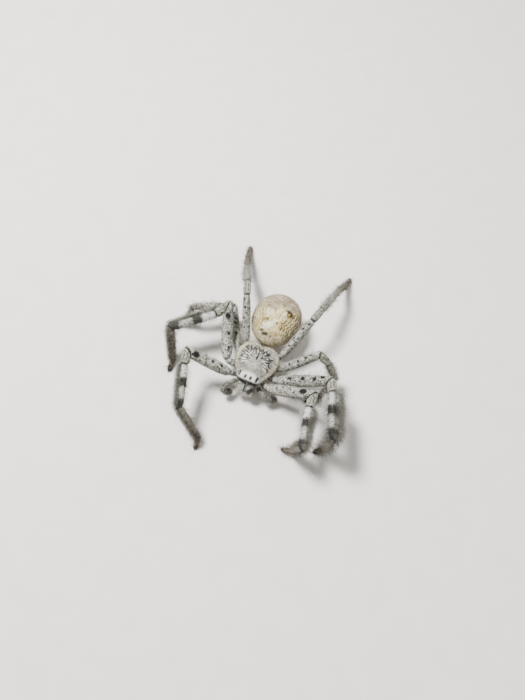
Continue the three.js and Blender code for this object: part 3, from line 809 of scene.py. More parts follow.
# %% Places of the spines
SPINE_PLACES = {
    FEMUR: ((0.3, 38), (0.32, -38), (0.55, 42), (0.57, -42), (0.8, 36), (0.82, -36), (0.68, 0)),
    TIBIA: (
        (0.14, 70), (0.16, -70), (0.45, 78), (0.47, -78), (0.76, 72), (0.78, -72),
        (0.12, 140), (0.14, -140), (0.4, 145), (0.42, -145), (0.68, 140), (0.7, -140),
    ),
    METATARSUS: ((0.1, 80), (0.12, -80), (0.38, 95), (0.4, -95), (0.1, 145), (0.12, -145)),
}
SPINE_LENGTH = {FEMUR: 1.7, TIBIA: 2.2, METATARSUS: 2.0}
SPINE_WIDTH = 0.13
SPINE_LIFT = 46
CLAW_LENGTH = 0.5


def spine_colour(tree):
    return blended(tree, grain(tree, 0.3), linear("#33281F"), linear("#574636"))


spine_horn = finish("dark_spine_horn", spine_colour, 0.35, specular=0.5)


def spines(surface, dice):
    """The spines and claws of one leg, in the form that hair_piece() takes."""
    points, normals, heading = surface["points"], surface["normals"], surface["heading"]
    level = unit(np.cross([0.0, 0.0, 1.0], heading))
    upper = np.cross(heading, level)
    roots, aims, lengths, unwrap = [], [], [], []
    for part, places in SPINE_PLACES.items():
        rings = np.flatnonzero(surface["segments"] == part)
        for share, degrees in places:
            ring = rings[np.argmin(np.abs(surface["shares"][rings] - share - dice.normal(0, 0.015)))]
            turn = math.radians(degrees + dice.normal(0, 6))
            wanted = math.cos(turn) * upper[ring] + math.sin(turn) * level[ring]
            step = int(np.argmax(normals[ring] @ wanted))
            lift = math.radians(SPINE_LIFT + dice.normal(0, 6))
            roots.append(points[ring, step])
            aims.append(math.cos(lift) * heading[ring] + math.sin(lift) * normals[ring, step])
            lengths.append(SPINE_LENGTH[part] * dice.uniform(0.85, 1.15))
            unwrap.append((step / points.shape[1], ring / len(points)))
    for side in (-1, 1):
        roots.append(points[-2].mean(axis=0))
        aims.append(heading[-1] + 0.35 * side * level[-1] - 0.2 * upper[-1])
        lengths.append(CLAW_LENGTH)
        unwrap.append((0.5, 0.99))
    root, aim, long = np.array(roots), unit(np.array(aims)), np.array(lengths)[:, None]
    out = unit(np.cross(np.cross(aim, [0.0, 0.0, 1.0]), aim))
    return {
        "root": root - 0.08 * aim, "middle": root + 0.5 * long * aim + 0.05 * long * out,
        "tip": root + long * aim, "across": unit(np.cross(aim, out)), "normal": out,
        "width": np.full((len(root), 1), SPINE_WIDTH), "bent": True,
        "unwrap": np.array(unwrap), "tone": dice.random(len(root)), "marks": {},
    }


print("spines on each leg:", sum(len(places) for places in SPINE_PLACES.values()))

# %% [markdown]
# ## Legs: building all eight
# The short pile lies flat toward the foot. Long fine hairs stand out in a fringe along tibia and
# metatarsus, thickest on the outer side of the first two pairs, and a dense brush grows under the
# foot, which is what lets the spider climb.

# %% Build the legs
PILE_COUNT = 12000
FRINGE_COUNT = {1: 4200, 2: 5600, 3: 1500, 4: 1500}
FRINGE_LENGTH = {"left_1": 2.0, "left_2": 2.7, "right_1": 1.4, "right_2": 1.5}
FRINGE_LENGTH_ELSEWHERE = 1.1
OUTER_FRINGE = 8.0
BRUSH_COUNT = 2600
# Keeps a chance for every place, so that no coat is left without a root
LEAST = 1e-6
LEG_NODES = ("coxa", "femur", "patella", "tibia", "foot")

for number, name in enumerate(STANCE):
    dice = np.random.default_rng(100 + number)
    pair = int(name[-1])
    points, segments, shares, heading, axial, lengths = leg_surface(name)
    marks = leg_marks(name, points, segments, shares, heading, axial, lengths)
    skin = make_skin(f"leg_skin_{name}", points, marks, leg_velvet)
    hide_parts(*(f"leg_{name}_{node}" for node in LEG_NODES))
    surface = coat_base(points, marks, heading[:, None])
    surface.update(segments=segments, shares=shares, heading=heading)
    level = unit(np.cross([0.0, 0.0, 1.0], heading))
    upper = np.cross(heading, level)
    top = np.sum(surface["normals"] * upper[:, None], axis=2)
    flank = np.sum(surface["normals"] * level[:, None], axis=2)
    outer = smooth(0.0, 0.7, flank * (1 if name.startswith("left") else -1) * np.sign(level[:, :1]))
    segment = segments[:, None] + 0 * top
    kinds = [segment == TIBIA, segment == METATARSUS, segment == TARSUS, segment == FEMUR]
    hairy = np.select(kinds, [1.0, 1.1, 0.7, 0.2], 0.1)
    outer_fringe = OUTER_FRINGE * outer * np.isin(segment, (TIBIA, METATARSUS)) if pair <= 2 else 0.0
    fringe = hairy * (1 + outer_fringe)
    foot = np.isin(segment, (METATARSUS, TARSUS)) * (axial + segment - METATARSUS > 0.15)
    pad = foot * smooth(-0.1, 0.6, -top)
    fringe_length = FRINGE_LENGTH.get(name, FRINGE_LENGTH_ELSEWHERE)
    groups = [
        grow(surface, np.ones(top.shape), PILE_COUNT, dice, length=0.3, width=0.034, lift=22),
        grow(surface, fringe, FRINGE_COUNT[pair], dice, length=fringe_length, width=0.04, lift=56, droop=0.1),
        grow(surface, pad + LEAST, BRUSH_COUNT, dice, length=0.45, width=0.04, lift=62),
    ]
    coat = hair_piece(f"leg_coat_{name}", groups, leg_hair)
    thorns = hair_piece(f"leg_spines_{name}", [spines(surface, dice)], spine_horn)

# %% [markdown]
# ## Carapace: the shape
# The carapace is one hard plate over the head and chest, heart-shaped behind, with a broad low
# dome, a raised head in front and a short groove in the middle where muscles attach inside. From
# above it is an outline scaled toward its middle, so its table of points runs from the middle of
# the underside out to the rim and back over the top.

# %% Surface of the carapace
CARAPACE_LENGTH = 11.2
CARAPACE_WIDTH = 11.1
CARAPACE_UNDERSIDE = 6.35
CARAPACE_RIM = 0.4
CARAPACE_DOME = 1.95
CARAPACE_MIDDLE = -0.04 * CARAPACE_LENGTH
CARAPACE_HALF = (
    (0, -0.545), (0.16, -0.54), (0.225, -0.525), (0.285, -0.465), (0.335, -0.38), (0.4, -0.25),
    (0.465, -0.11), (0.5, 0.055), (0.465, 0.245), (0.35, 0.385), (0.19, 0.45), (0.07, 0.428), (0, 0.4),
)
CARAPACE_AROUND = 200
FACE_HEIGHT = 0.75
HEAD_RISE = 0.45
FOVEA_DEPTH = 0.22
# The middle groove, from end to end
FOVEA = (0.12, 1.7, 0.09, -0.2)


def closed_outline(half, count):
    """Evenly spaced points on a smooth closed curve through a half outline and its mirror image."""
    half = np.asarray(half, float)
    ring = np.vstack([half, half[-2:0:-1] * [-1, 1]])
    wrapped = np.vstack([ring[-3:], ring, ring[:4]])
    span = len(wrapped) - 1
    t = np.linspace(3, 3 + len(ring), 4001) / span
    dense = through(wrapped, t)
    travel = np.concatenate([[0], np.cumsum(np.linalg.norm(np.diff(dense, axis=0), axis=1))])
    even = np.linspace(0, travel[-1], count + 1)
    return np.stack([np.interp(even, travel, dense[:, k]) for k in range(2)], axis=1)


def stroke(x, y, line, width):
    """1 on a short straight stroke, fading to 0 over its edge."""
    ax, ay, bx, by = line
    dx, dy = bx - ax, by - ay
    t = np.clip(((x - ax) * dx + (y - ay) * dy) / (dx * dx + dy * dy + 1e-9), 0, 1)
    return 1 - smooth(0.5 * width, 1.1 * width, np.hypot(x - ax - t * dx, y - ay - t * dy))


def carapace_height(x, y, share):
    dome = CARAPACE_DOME * np.maximum(1 - share ** 2.6, 0) ** 0.8
    front = FACE_HEIGHT * np.exp(-((y + 5.9) / 1.3) ** 2) * np.exp(-(x / 3.3) ** 4)
    head = HEAD_RISE * np.exp(-((y + 3.9) / 1.9) ** 2) * np.exp(-(x / 2.5) ** 2) * (1 - share ** 6)
    angle = np.arctan2(x, y - CARAPACE_MIDDLE)
    furrows = 0.035 * np.cos(angle * 14) * smooth(0.25, 0.5, share) * (1 - smooth(0.7, 0.85, share))
    furrows *= smooth(-2.5, 0.0, y)
    neck = 0.14 * np.exp(-((np.abs(x) - 1.55 - 0.3 * (y + 2.6)) / 0.32) ** 2) * band(y, -4.0, -1.2, 0.7)
    return (
        CARAPACE_UNDERSIDE + CARAPACE_RIM + dome + front + head + furrows - neck
        - FOVEA_DEPTH * stroke(x, y, FOVEA, 0.3) - COAT_DEPTH
    )


outline = closed_outline(np.array(CARAPACE_HALF) * [CARAPACE_WIDTH, CARAPACE_LENGTH], CARAPACE_AROUND)
under_shares = np.array([0.0, 0.35, 0.7, 0.9, 0.97])
top_shares = np.concatenate([[0.995, 0.98], np.linspace(0.96, 0.0, 56)])
rows, row_shares = [], []
for share in under_shares:
    flat = outline * [1, 1] * share + [0, CARAPACE_MIDDLE * (1 - share)]
    rows.append(np.column_stack([flat, np.full(len(flat), CARAPACE_UNDERSIDE + 0.12)]))
    row_shares.append(1.0)
edge = outline * 0.995 + [0, CARAPACE_MIDDLE * 0.005]
rows.append(np.column_stack([edge, np.full(len(edge), CARAPACE_UNDERSIDE + 0.2)]))
row_shares.append(1.0)
for share in top_shares:
    flat = outline * share + [0, CARAPACE_MIDDLE * (1 - share)]
    height = carapace_height(flat[:, 0], flat[:, 1], share)
    rows.append(np.column_stack([flat, height]))
    row_shares.append(share)
carapace_points = np.array(rows)
carapace_shares = np.array(row_shares)
print("carapace", np.round(np.ptp(carapace_points.reshape(-1, 3), axis=0), 2), "mm")

# %% [markdown]
# ## Carapace: markings and finish
# The plate is grey, with a broad cream margin and a whitish head. Dark dashes spread from the
# middle groove toward the two hind lobes, like the spokes of a wheel. The spokes come from a loop
# over angles with small seeded differences, and a few strokes that are heavier on the real animal
# are added by place.

# %% Markings of the carapace
HEAVY_STROKES = (
    (-3.9, 2.75, -2.9, 1.75, 0.3), (-2.6, 3.0, -2.0, 1.8, 0.28), (-3.4, 3.1, -3.0, 2.65, 0.24),
    (-1.45, 3.1, -1.5, 2.2, 0.24), (-0.85, 2.9, -1.0, 2.3, 0.2), (0.75, 2.8, 1.15, 2.1, 0.3),
    (1.5, 2.85, 2.0, 2.2, 0.3), (2.7, 2.35, 1.7, 1.4, 0.26), (2.2, 2.7, 2.5, 2.0, 0.22),
    (3.8, 1.45, 2.9, 1.1, 0.26), (3.75, 0.85, 3.1, 0.75, 0.2), (3.8, -0.85, 3.2, -0.35, 0.24),
    (-3.95, -0.4, -3.6, -0.2, 0.34), (-4.3, -1.5, -3.6, -1.2, 0.22), (4.0, -2.0, 3.3, -1.4, 0.2),
    (-4.1, 0.9, -3.7, 0.75, 0.24), (-1.8, 0.35, -1.2, 0.2, 0.2), (1.75, 0.9, 1.25, 0.7, 0.18),
)
# Dark marks that run past the four eyes of the upper row
EYE_STREAKS = (
    (-2.32, -4.35, -2.4, -5.15, 0.34), (2.28, -4.5, 2.12, -5.4, 0.34),
    (-0.68, -5.1, -0.72, -5.35, 0.4), (0.68, -5.1, 0.64, -5.35, 0.4),
)
SPOKES = 58


def carapace_marks():
    dice = np.random.default_rng(7)
    x, y = carapace_points[..., 0], carapace_points[..., 1]
    share = carapace_shares[:, None] + 0 * x
    dark, white = np.zeros_like(x), np.zeros_like(x)
    for spoke in range(SPOKES):
        at = math.radians(-140 + 280 * (spoke + dice.uniform(-0.35, 0.35)) / (SPOKES - 1))
        start, length = dice.uniform(1.3, 2.9), dice.uniform(0.6, 1.5)
        line = [
            out * way for out in (start, min(start + length, 4.1)) for way in (math.sin(at), math.cos(at))
        ]
        line = [line[0], line[1] - 0.4, line[2], line[3] - 0.4]
        behind = 1.0 if abs(at) < 1.75 else 0.45
        if spoke % 3 == 2:
            white = np.maximum(white, dice.uniform(0.5, 0.9) * stroke(x, y, line, dice.uniform(0.16, 0.26)))
        else:
            strength = dice.uniform(0.6, 1.0) * behind
            dark = np.maximum(dark, strength * stroke(x, y, line, dice.uniform(0.11, 0.22)))
    for *line, width in HEAVY_STROKES:
        dark = np.maximum(dark, 0.95 * stroke(x, y, line, width))
    dark = np.maximum(dark, stroke(x, y, FOVEA, 0.22))
    angle = np.arctan2(x, y - CARAPACE_MIDDLE)
    ragged = share + 0.008 * np.sin(11 * angle) + 0.006 * np.sin(29 * angle + 1.0)
    margin = smooth(0.79, 0.86, ragged - 0.05 * smooth(0.5, -3.5, y)) * smooth(-5.4, -3.2, y)
    dark *= 1 - margin
    head = 1 - smooth(-4.6, -3.4, y + 0.12 * x ** 2)
    dark *= 1 - 0.85 * head
    for *line, width in EYE_STREAKS:
        dark = np.maximum(dark, stroke(x, y, line, width))
    front_edge = smooth(0.952, 0.968, share) * (1 - smooth(-5.5, -5.0, y))
    side_edge = smooth(0.965, 0.985, share) * 0.9
    line = np.maximum(front_edge, side_edge)
    white = np.maximum(white * (1 - margin), 0.95 * head * (1 - front_edge))
    centre = 0.8 * np.exp(-(x / 1.9) ** 2 - ((y + 2.2) / 1.5) ** 2)
    shade = 0.95 * np.exp(-((np.hypot(x, y + 0.4) - 2.9) / 0.9) ** 2) * (1 - head) * (1 - margin)
    return {
        "dark": dark, "line": line, "white": white, "cream": margin, "green": centre, "warm": shade,
    }


def carapace_colour(tree):
    ground = blended(tree, grain(tree, 0.4, low=0.42, high=0.58), linear("#B0AEA2"), linear("#6F6C63"))
    shade = times(tree, marking(tree, "warm"), grain(tree, 0.35, low=0.3, high=0.55))
    ground = blended(tree, shade, ground, linear("#5E5A50"))
    ground = blended(tree, marking(tree, "green"), ground, linear("#A9B09C"))
    colour = blended(tree, marking(tree, "white"), ground, linear("#EDEBE3"))
    cream = blended(tree, grain(tree, 0.42, low=0.44, high=0.6), linear("#D4CCB2"), linear("#8F8873"))
    colour = blended(tree, marking(tree, "cream"), colour, cream)
    fleck = times(tree, grain(tree, 0.2, low=0.52, high=0.6), 0.6)
    colour = blended(tree, fleck, colour, linear("#4D4A42"))
    colour = blended(tree, marking(tree, "dark"), colour, linear("#161512"))
    line = times(tree, marking(tree, "line"), 0.92)
    return blended(tree, line, colour, linear("#1C1714"))


carapace_velvet = finish("downy_carapace_cuticle", carapace_colour, 0.7, pile_bump, specular=0.3, sheen=0.1)
carapace_hair = finish("short_carapace_hair", hair_colour_of(carapace_colour), 0.65, specular=0.3)
carapace_table = carapace_marks()
carapace = make_skin("carapace_skin", carapace_points, carapace_table, carapace_velvet)
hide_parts("carapace")

# %% Down on the carapace
from_middle = carapace_points - np.array([0.0, -1.0, 8.0])
outward_lie = unit(from_middle * [1.0, 1.0, 0.0] + [0.0, -0.3, 0.0])
carapace_base = coat_base(carapace_points, carapace_table, outward_lie)
above = (carapace_base["normals"][..., 2] > -0.2) * 1.0
dice = np.random.default_rng(21)
rim = above * smooth(0.88, 0.98, carapace_shares)[:, None]
coat = hair_piece("carapace_coat", [
    grow(carapace_base, above, 16000, dice, length=0.22, width=0.03, lift=18),
    grow(carapace_base, rim + LEAST, 3000, dice, length=0.5, width=0.03, lift=30),
], carapace_hair)

# %% [markdown]
# ## Eyes
# A huntsman has eight small eyes in two rows of four. Each is a single clear lens over a black
# cup, so it reads as a glossy black bead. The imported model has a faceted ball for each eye, and
# a smooth ball of the same size and place goes over it.

# %% Eyes


def eye_colour(tree):
    return blended(tree, grain(tree, 0.2), linear("#0B0908"), linear("#1C1410"))


eye_lens = finish("clear_eye_lens", eye_colour, 0.08, specular=0.6, coat=1.0)
for row in ("back_middle", "back_side", "front_middle", "front_side"):
    for side in ("left", "right"):
        node = f"eye_{row}_{side}"
        low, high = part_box(node)
        shape = bmesh.new()
        bmesh.ops.create_uvsphere(shape, u_segments=24, v_segments=16, radius=0.5 * (high.z - low.z))
        bmesh.ops.translate(shape, verts=shape.verts, vec=(low + high) / 2)
        for face in shape.faces:
            face.smooth = True
        eye_mesh = bpy.data.meshes.new(f"{node}_lens")
        shape.to_mesh(eye_mesh)
        shape.free()
        eye_mesh.materials.append(eye_lens)
        eye = bpy.data.objects.new(f"{node}_lens", eye_mesh)
        bpy.context.scene.collection.objects.link(eye)
        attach(eye, "root")
        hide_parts(node)
print("eight eyes, the largest", round((high.z - low.z) / MM, 2), "mm across")

# %% [markdown]
# ## Abdomen: the shape
# The hind body is a soft egg, a little fuller behind its middle. Its skin lies in fine folds
# along the sides, and small dimples on top mark where muscles pull from inside. The folds are
# worked into the mesh, because they catch the light, and the finer wrinkles are left to the
# material.

# %% Surface of the abdomen
ABDOMEN_SIZE = (12.8, 15.0, 9.2)
ABDOMEN_RINGS = 150
ABDOMEN_AROUND = 220
DIMPLES = ((1.2, 9.5), (-1.3, 9.75), (1.5, 12.6), (-1.6, 12.9), (1.1, 15.2), (-1.2, 15.4))


def fold_lines(x, y, turn):
    """Wavy lines along both flanks and round the rear, from 0 between them to 1 on a line."""
    wiggle = 0.3 * np.sin(1.9 * y + 1.3 * np.sign(x)) + 0.2 * np.sin(4.3 * y + 0.7 * x)
    flank = band(turn, 22, 84, 6) * band(y, 7.4, 15.0, 1.0) * np.where(x > 0, 1.0, 0.5)
    sides = smooth(0.0, 0.7, np.cos((turn * 0.11 + wiggle) * 2 * math.pi)) * flank
    ripple = 0.25 * np.sin(1.7 * x) + 0.2 * np.sin(3.9 * x + 0.6)
    hind = band(y, 14.6, 19.4, 0.5) * 0.3
    rear = smooth(0.1, 0.9, np.cos((y * 1.1 + 0.045 * x ** 2 + ripple) * 2 * math.pi)) * hind
    return np.maximum(sides, rear)


def abdomen_surface():
    along = -np.cos(np.radians(np.linspace(0, 180, ABDOMEN_RINGS)))
    turns = round_steps(ABDOMEN_AROUND)
    spread = np.maximum(1 - along ** 2, 0) ** 0.46 * (1 + 0.05 * along)
    rise = np.sin(turns) * np.where(np.sin(turns) < 0, 0.94, 1.0)
    half = 0.5 * np.array(ABDOMEN_SIZE) - COAT_DEPTH
    points = np.stack(np.broadcast_arrays(
        ABDOMEN_CENTRE[0] + half[0] * spread[:, None] * np.cos(turns)[None],
        ABDOMEN_CENTRE[1] + (half[1] * along)[:, None] + 0 * turns[None],
        ABDOMEN_CENTRE[2] + half[2] * spread[:, None] * rise[None],
    ), axis=2).copy()
    x, y = points[..., 0] - ABDOMEN_CENTRE[0], points[..., 1]
    turn = np.degrees(np.arctan2(np.abs(np.cos(turns))[None] + 0 * x, rise[None] + 0 * x))
    normals = outward_normals(points)
    relief = -0.13 * fold_lines(x, y, turn)
    for dx, dy in DIMPLES:
        on_top = points[..., 2] > ABDOMEN_CENTRE[2]
        relief -= 0.16 * on_top * np.exp(-((x - dx) ** 2 + (y - dy) ** 2) / 0.3 ** 2)
    relief += 0.05 * np.sin(2.3 * x + 1.1 * y) * np.sin(1.7 * y - 0.9 * x) * smooth(0.3, 0.7, spread)[:, None]
    points += normals * relief[..., None]
    return points, turn


abdomen_points, abdomen_turn = abdomen_surface()
print("abdomen", np.round(np.ptp(abdomen_points.reshape(-1, 3), axis=0), 2), "mm")

# %% [markdown]
# ## Abdomen: markings and finish
# The front half is cream and golden, with a mint-white patch in the middle, olive spots in pairs
# and brown lines in the folds. The hind part is a duller tan. The patches are soft discs by
# place, and noise breaks their edges so that they look grown rather than painted.

# %% Markings of the abdomen
# Each patch: x and y in mm, radius across and along, strength
GOLD_PATCHES = (
    (3.3, 13.2, 0.9, 1.1, 0.9), (-2.2, 9.7, 0.9, 0.9, 0.9), (-3.6, 8.8, 0.7, 1.0, 0.6),
    (1.2, 7.4, 1.4, 0.6, 0.5), (2.6, 9.8, 1.0, 1.2, 0.6), (-3.4, 12.2, 0.6, 1.3, 0.6),
)
MINT_PATCHES = ((-0.4, 9.0, 1.1, 1.0, 0.7), (-1.6, 8.5, 0.9, 0.7, 0.8), (-1.9, 12.2, 1.4, 0.9, 0.55))
DARK_PATCHES = (
    (1.1, 9.9, 0.3, 0.34, 0.85), (-1.55, 10.2, 0.45, 0.3, 0.8), (-0.9, 6.7, 1.0, 0.45, 0.95),
    (-1.9, 7.3, 0.75, 0.38, 0.9), (0.6, 6.5, 0.45, 0.28, 0.6), (2.7, 14.0, 1.0, 0.4, 0.95),
    (3.7, 13.5, 0.6, 0.7, 0.85), (-2.6, 13.9, 1.0, 0.32, 0.55), (1.3, 13.5, 0.4, 0.2, 0.5),
    (0.9, 15.4, 0.5, 0.25, 0.4), (-0.8, 15.0, 0.5, 0.25, 0.4), (-0.2, 7.8, 0.3, 0.2, 0.5),
)


def patches(x, y, places):
    total = np.zeros_like(x)
    for px, py, wide, deep, strength in places:
        distance = np.hypot((x - px) / wide, (y - py) / deep)
        total = np.maximum(total, strength * (1 - smooth(0.65, 1.25, distance)))
    return total


def abdomen_marks():
    x, y = abdomen_points[..., 0] - ABDOMEN_CENTRE[0], abdomen_points[..., 1]
    on_top = smooth(-0.5, 1.0, abdomen_points[..., 2] - ABDOMEN_CENTRE[2])
    edge = 13.6 + 0.22 * x + 0.5 * np.sin(1.6 * x)
    rear = smooth(-0.7, 0.9, y - edge)
    lines = 0.95 * fold_lines(x, y, abdomen_turn)
    wiggle = 0.3 * np.sin(2.1 * y + x) + 0.22 * np.sin(3.7 * y - 1.6 * x)
    pale = smooth(0.45, 0.95, np.sin(2.6 * math.pi * (np.abs(x) * 0.55 + wiggle)))
    rim = smooth(7.6, 6.4, y)
    return {
        "tan": np.max([rear, smooth(38, 66, abdomen_turn), 0.8 * rim], axis=0),
        "gold": patches(x, y, GOLD_PATCHES) * on_top,
        "mint": patches(x, y, MINT_PATCHES) * on_top, "dark": patches(x, y, DARK_PATCHES) * on_top,
        "line": lines, "pale": 0.6 * pale * on_top * (1 - 0.7 * rear) * (1 - smooth(0.05, 0.4, lines)),
    }


def abdomen_colour(tree):
    cream = blended(tree, grain(tree, 0.8), linear("#D6C998"), linear("#AE9C68"))
    tan = blended(tree, grain(tree, 0.9, stretch=(0.35, 1.0, 1.0)), linear("#B1A48B"), linear("#776C58"))
    colour = blended(tree, marking(tree, "tan"), cream, tan)
    colour = blended(tree, marking(tree, "gold"), colour, linear("#8F7430"))
    colour = blended(tree, marking(tree, "mint"), colour, linear("#C6D0B8"))
    wrinkles = times(tree, grain(tree, 0.42, low=0.5, high=0.6, stretch=(1.0, 0.4, 1.0)), 0.55)
    colour = blended(tree, wrinkles, colour, linear("#7E6836"))
    pale = times(tree, marking(tree, "pale"), grain(tree, 0.36, low=0.35, high=0.52))
    colour = blended(tree, pale, colour, linear("#EFE6C6"))
    line = times(tree, marking(tree, "line"), grain(tree, 0.9, low=0.36, high=0.5))
    colour = blended(tree, line, colour, linear("#2A2012"))
    dark = times(tree, marking(tree, "dark"), grain(tree, 0.4, low=0.18, high=0.36))
    return blended(tree, dark, colour, linear("#2C260B"))


def wrinkle_bump(tree):
    return grain(tree, 0.4, detail=3.0, low=0.3, high=0.7, stretch=(1.0, 0.5, 1.0)), 0.07


abdomen_skin_finish = finish("soft_wrinkled_abdomen_skin", abdomen_colour, 0.6, wrinkle_bump, specular=0.35)
abdomen_hair = finish("fine_abdomen_hair", hair_colour_of(abdomen_colour), 0.65, specular=0.3)
abdomen_table = abdomen_marks()
abdomen = make_skin("abdomen_skin", abdomen_points, abdomen_table, abdomen_skin_finish)
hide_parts("abdomen")

# %% Down on the abdomen
BACKWARD = (0.0, 1.0, 0.0)
abdomen_base = coat_base(abdomen_points, abdomen_table, BACKWARD)
dice = np.random.default_rng(31)
even = np.ones(abdomen_points.shape[:2])
coat = hair_piece("abdomen_coat", [
    grow(abdomen_base, even, 20000, dice, length=0.2, width=0.024, lift=16),
    grow(abdomen_base, even, 1800, dice, length=0.7, width=0.024, lift=34, droop=0.06),
], abdomen_hair)

# %% [markdown]
# ## Jaws
# Two stout chelicerae hang side by side under the front edge of the carapace, smooth and shiny
# below and downy above, and each ends in a dark curved fang folded inward. Rings cut level give
# the basal segment its straight top, and a tapering tube along a bent path gives the fang. Shade is
# painted on them in dark purple under the carapace's edge, between the two jaws and on their upper
# outer parts, and in brown on their outer flanks. Their lower ends are brown.

# %% Chelicerae and fangs
CHELICERA_TOP = 6.05
CHELICERA_LENGTH = 3.2
CHELICERA_PATH = ((1.28, -5.75), (1.29, -6.4), (1.26, -7.0), (1.18, -7.35))
CHELICERA_WIDTHS = (1.0, 1.1, 1.05, 0.82)
CHELICERA_DEPTHS = (0.95, 1.3, 1.15, 0.72)
CHELICERA_DROPS = (0, 0.3, 0.62, 1)
# Rows of x, y and height below the root
FANG_PATH = ((1.25, -7.5, -0.3), (1.3, -7.55, 0), (1.25, -7.45, 0.45), (0.85, -7.0, 0.7), (0.4, -6.4, 0.6))
FANG_ROOT = CHELICERA_TOP - CHELICERA_LENGTH - 0.3
JAW_LIE = (0.0, -0.3, -1.0)


def chelicera_points(side):
    t = np.concatenate([[0, 0.0, 0.01, 0.03], np.linspace(0.06, 0.94, 34), [0.97, 0.99, 1.0, 1.0]])
    tuck = np.concatenate([[0, 0.8, 0.93, 0.99], np.ones(34), [0.93, 0.78, 0.5, 0.0]])
    drops = np.interp(t, (0, 1 / 3, 2 / 3, 1), CHELICERA_DROPS) * CHELICERA_LENGTH
    centre = through(CHELICERA_PATH, t)
    width = (through(np.array([CHELICERA_WIDTHS, CHELICERA_DEPTHS]).T, t, 0.0) - 0.05) * tuck[:, None]
    turns = round_steps(48)
    return np.stack([
        side * (centre[:, :1] + width[:, :1] * np.cos(turns)),
        centre[:, 1:] + width[:, 1:] * np.sin(turns) - 0.06 * np.sin(6 * t)[:, None],
        CHELICERA_TOP - drops[:, None] + 0 * turns,
    ], axis=2)


def chelicera_colour(tree):
    shell = blended(tree, grain(tree, 0.6, low=0.4, high=0.6), linear("#E9EFDF"), linear("#AEB7A0"))
    # Painted shade in dark purple: the dark mark shades the top under the carapace's edge, the gap between
    # the jaws and the upper outer part of each jaw
    colour = blended(tree, marking(tree, "dark"), shell, linear("#1B1726"))
    fleck = times(tree, grain(tree, 0.18, low=0.5, high=0.6), 0.55)
    colour = blended(tree, fleck, colour, linear("#504C44"))
    # The warm mark is brown: partly the jaws' own brown lower ends, partly painted shade on their outer
    # flanks
    return blended(tree, marking(tree, "warm"), colour, linear("#553A2C"))


def chitin_bump(tree):
    return grain(tree, 0.2, detail=3.0, low=0.3, high=0.7), 0.02


def fang_colour(tree):
    return blended(tree, grain(tree, 0.4), linear("#1C0E0A"), linear("#3A1A10"))


jaw_shell = finish("glossy_jaw_cuticle", chelicera_colour, 0.28, chitin_bump, specular=0.55, coat=0.4)
jaw_hair = finish("jaw_hair", hair_colour_of(chelicera_colour), 0.6, specular=0.3)
fang_horn = finish("dark_polished_fang", fang_colour, 0.16, specular=0.6, coat=0.6)
jaw_groups = []
dice = np.random.default_rng(41)
for side_name, side in (("left", 1), ("right", -1)):
    points = chelicera_points(side)
    x, y, z = (points[..., k] for k in range(3))
    low_down = smooth(3.9, 2.9, z)
    # Painted shade on the upper outer part of each jaw, full on the left jaw and faint on the right
    patch = stroke(x, z, (side * 1.7, 5.5, side * 1.1, 4.9), 0.8) * (y < -6.2)
    patch = patch * (1.0 if side > 0 else 0.3)
    # Painted shade in the gap between the two jaws
    between = 1 - smooth(0.3, 0.62, np.abs(x))
    # Painted shade on the outer flank of each jaw
    flank = smooth(1.85, 2.2, np.abs(x))
    # Painted shade along the top of each jaw, under the front edge of the carapace
    painted_brow_shade = 0.8 * smooth(5.8, 5.98, z)
    marks = {
        "dark": np.max([patch, between, painted_brow_shade], axis=0),
        "warm": np.maximum(0.85 * low_down, 0.7 * flank),
    }
    jaw = make_skin(f"chelicera_skin_{side_name}", points, marks, jaw_shell)
    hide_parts(f"chelicera_{side_name}")
    surface = coat_base(points, marks, JAW_LIE)
    front = (surface["normals"][..., 1] < 0.3) * smooth(2.6, 3.4, z)
    jaw_groups += [
        grow(surface, front + LEAST, 1600, dice, length=0.4, width=0.03, lift=22),
        grow(surface, front + LEAST, 260, dice, length=0.9, width=0.03, lift=40, droop=0.05),
    ]
    t = np.linspace(0, 1, 40)
    path = through([(x * side, y, FANG_ROOT - drop) for x, y, drop in FANG_PATH], t)
    taper = np.interp(t, (0, 0.03, 0.2, 0.6, 1), (0, 0.3, 0.3, 0.2, 0.0))
    fang = make_skin(f"fang_skin_{side_name}", tube(path, taper, taper, 20), {}, fang_horn)
    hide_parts(f"fang_{side_name}")
coat = hair_piece("jaw_coat", jaw_groups, jaw_hair)

# %% [markdown]
# ## Palps
# Beside the jaws stand two short feelers that look like small legs. They end in a blunt club of a
# duller brown-grey, thick with hair. A tube along a smooth path is enough, with a swelling for the club.

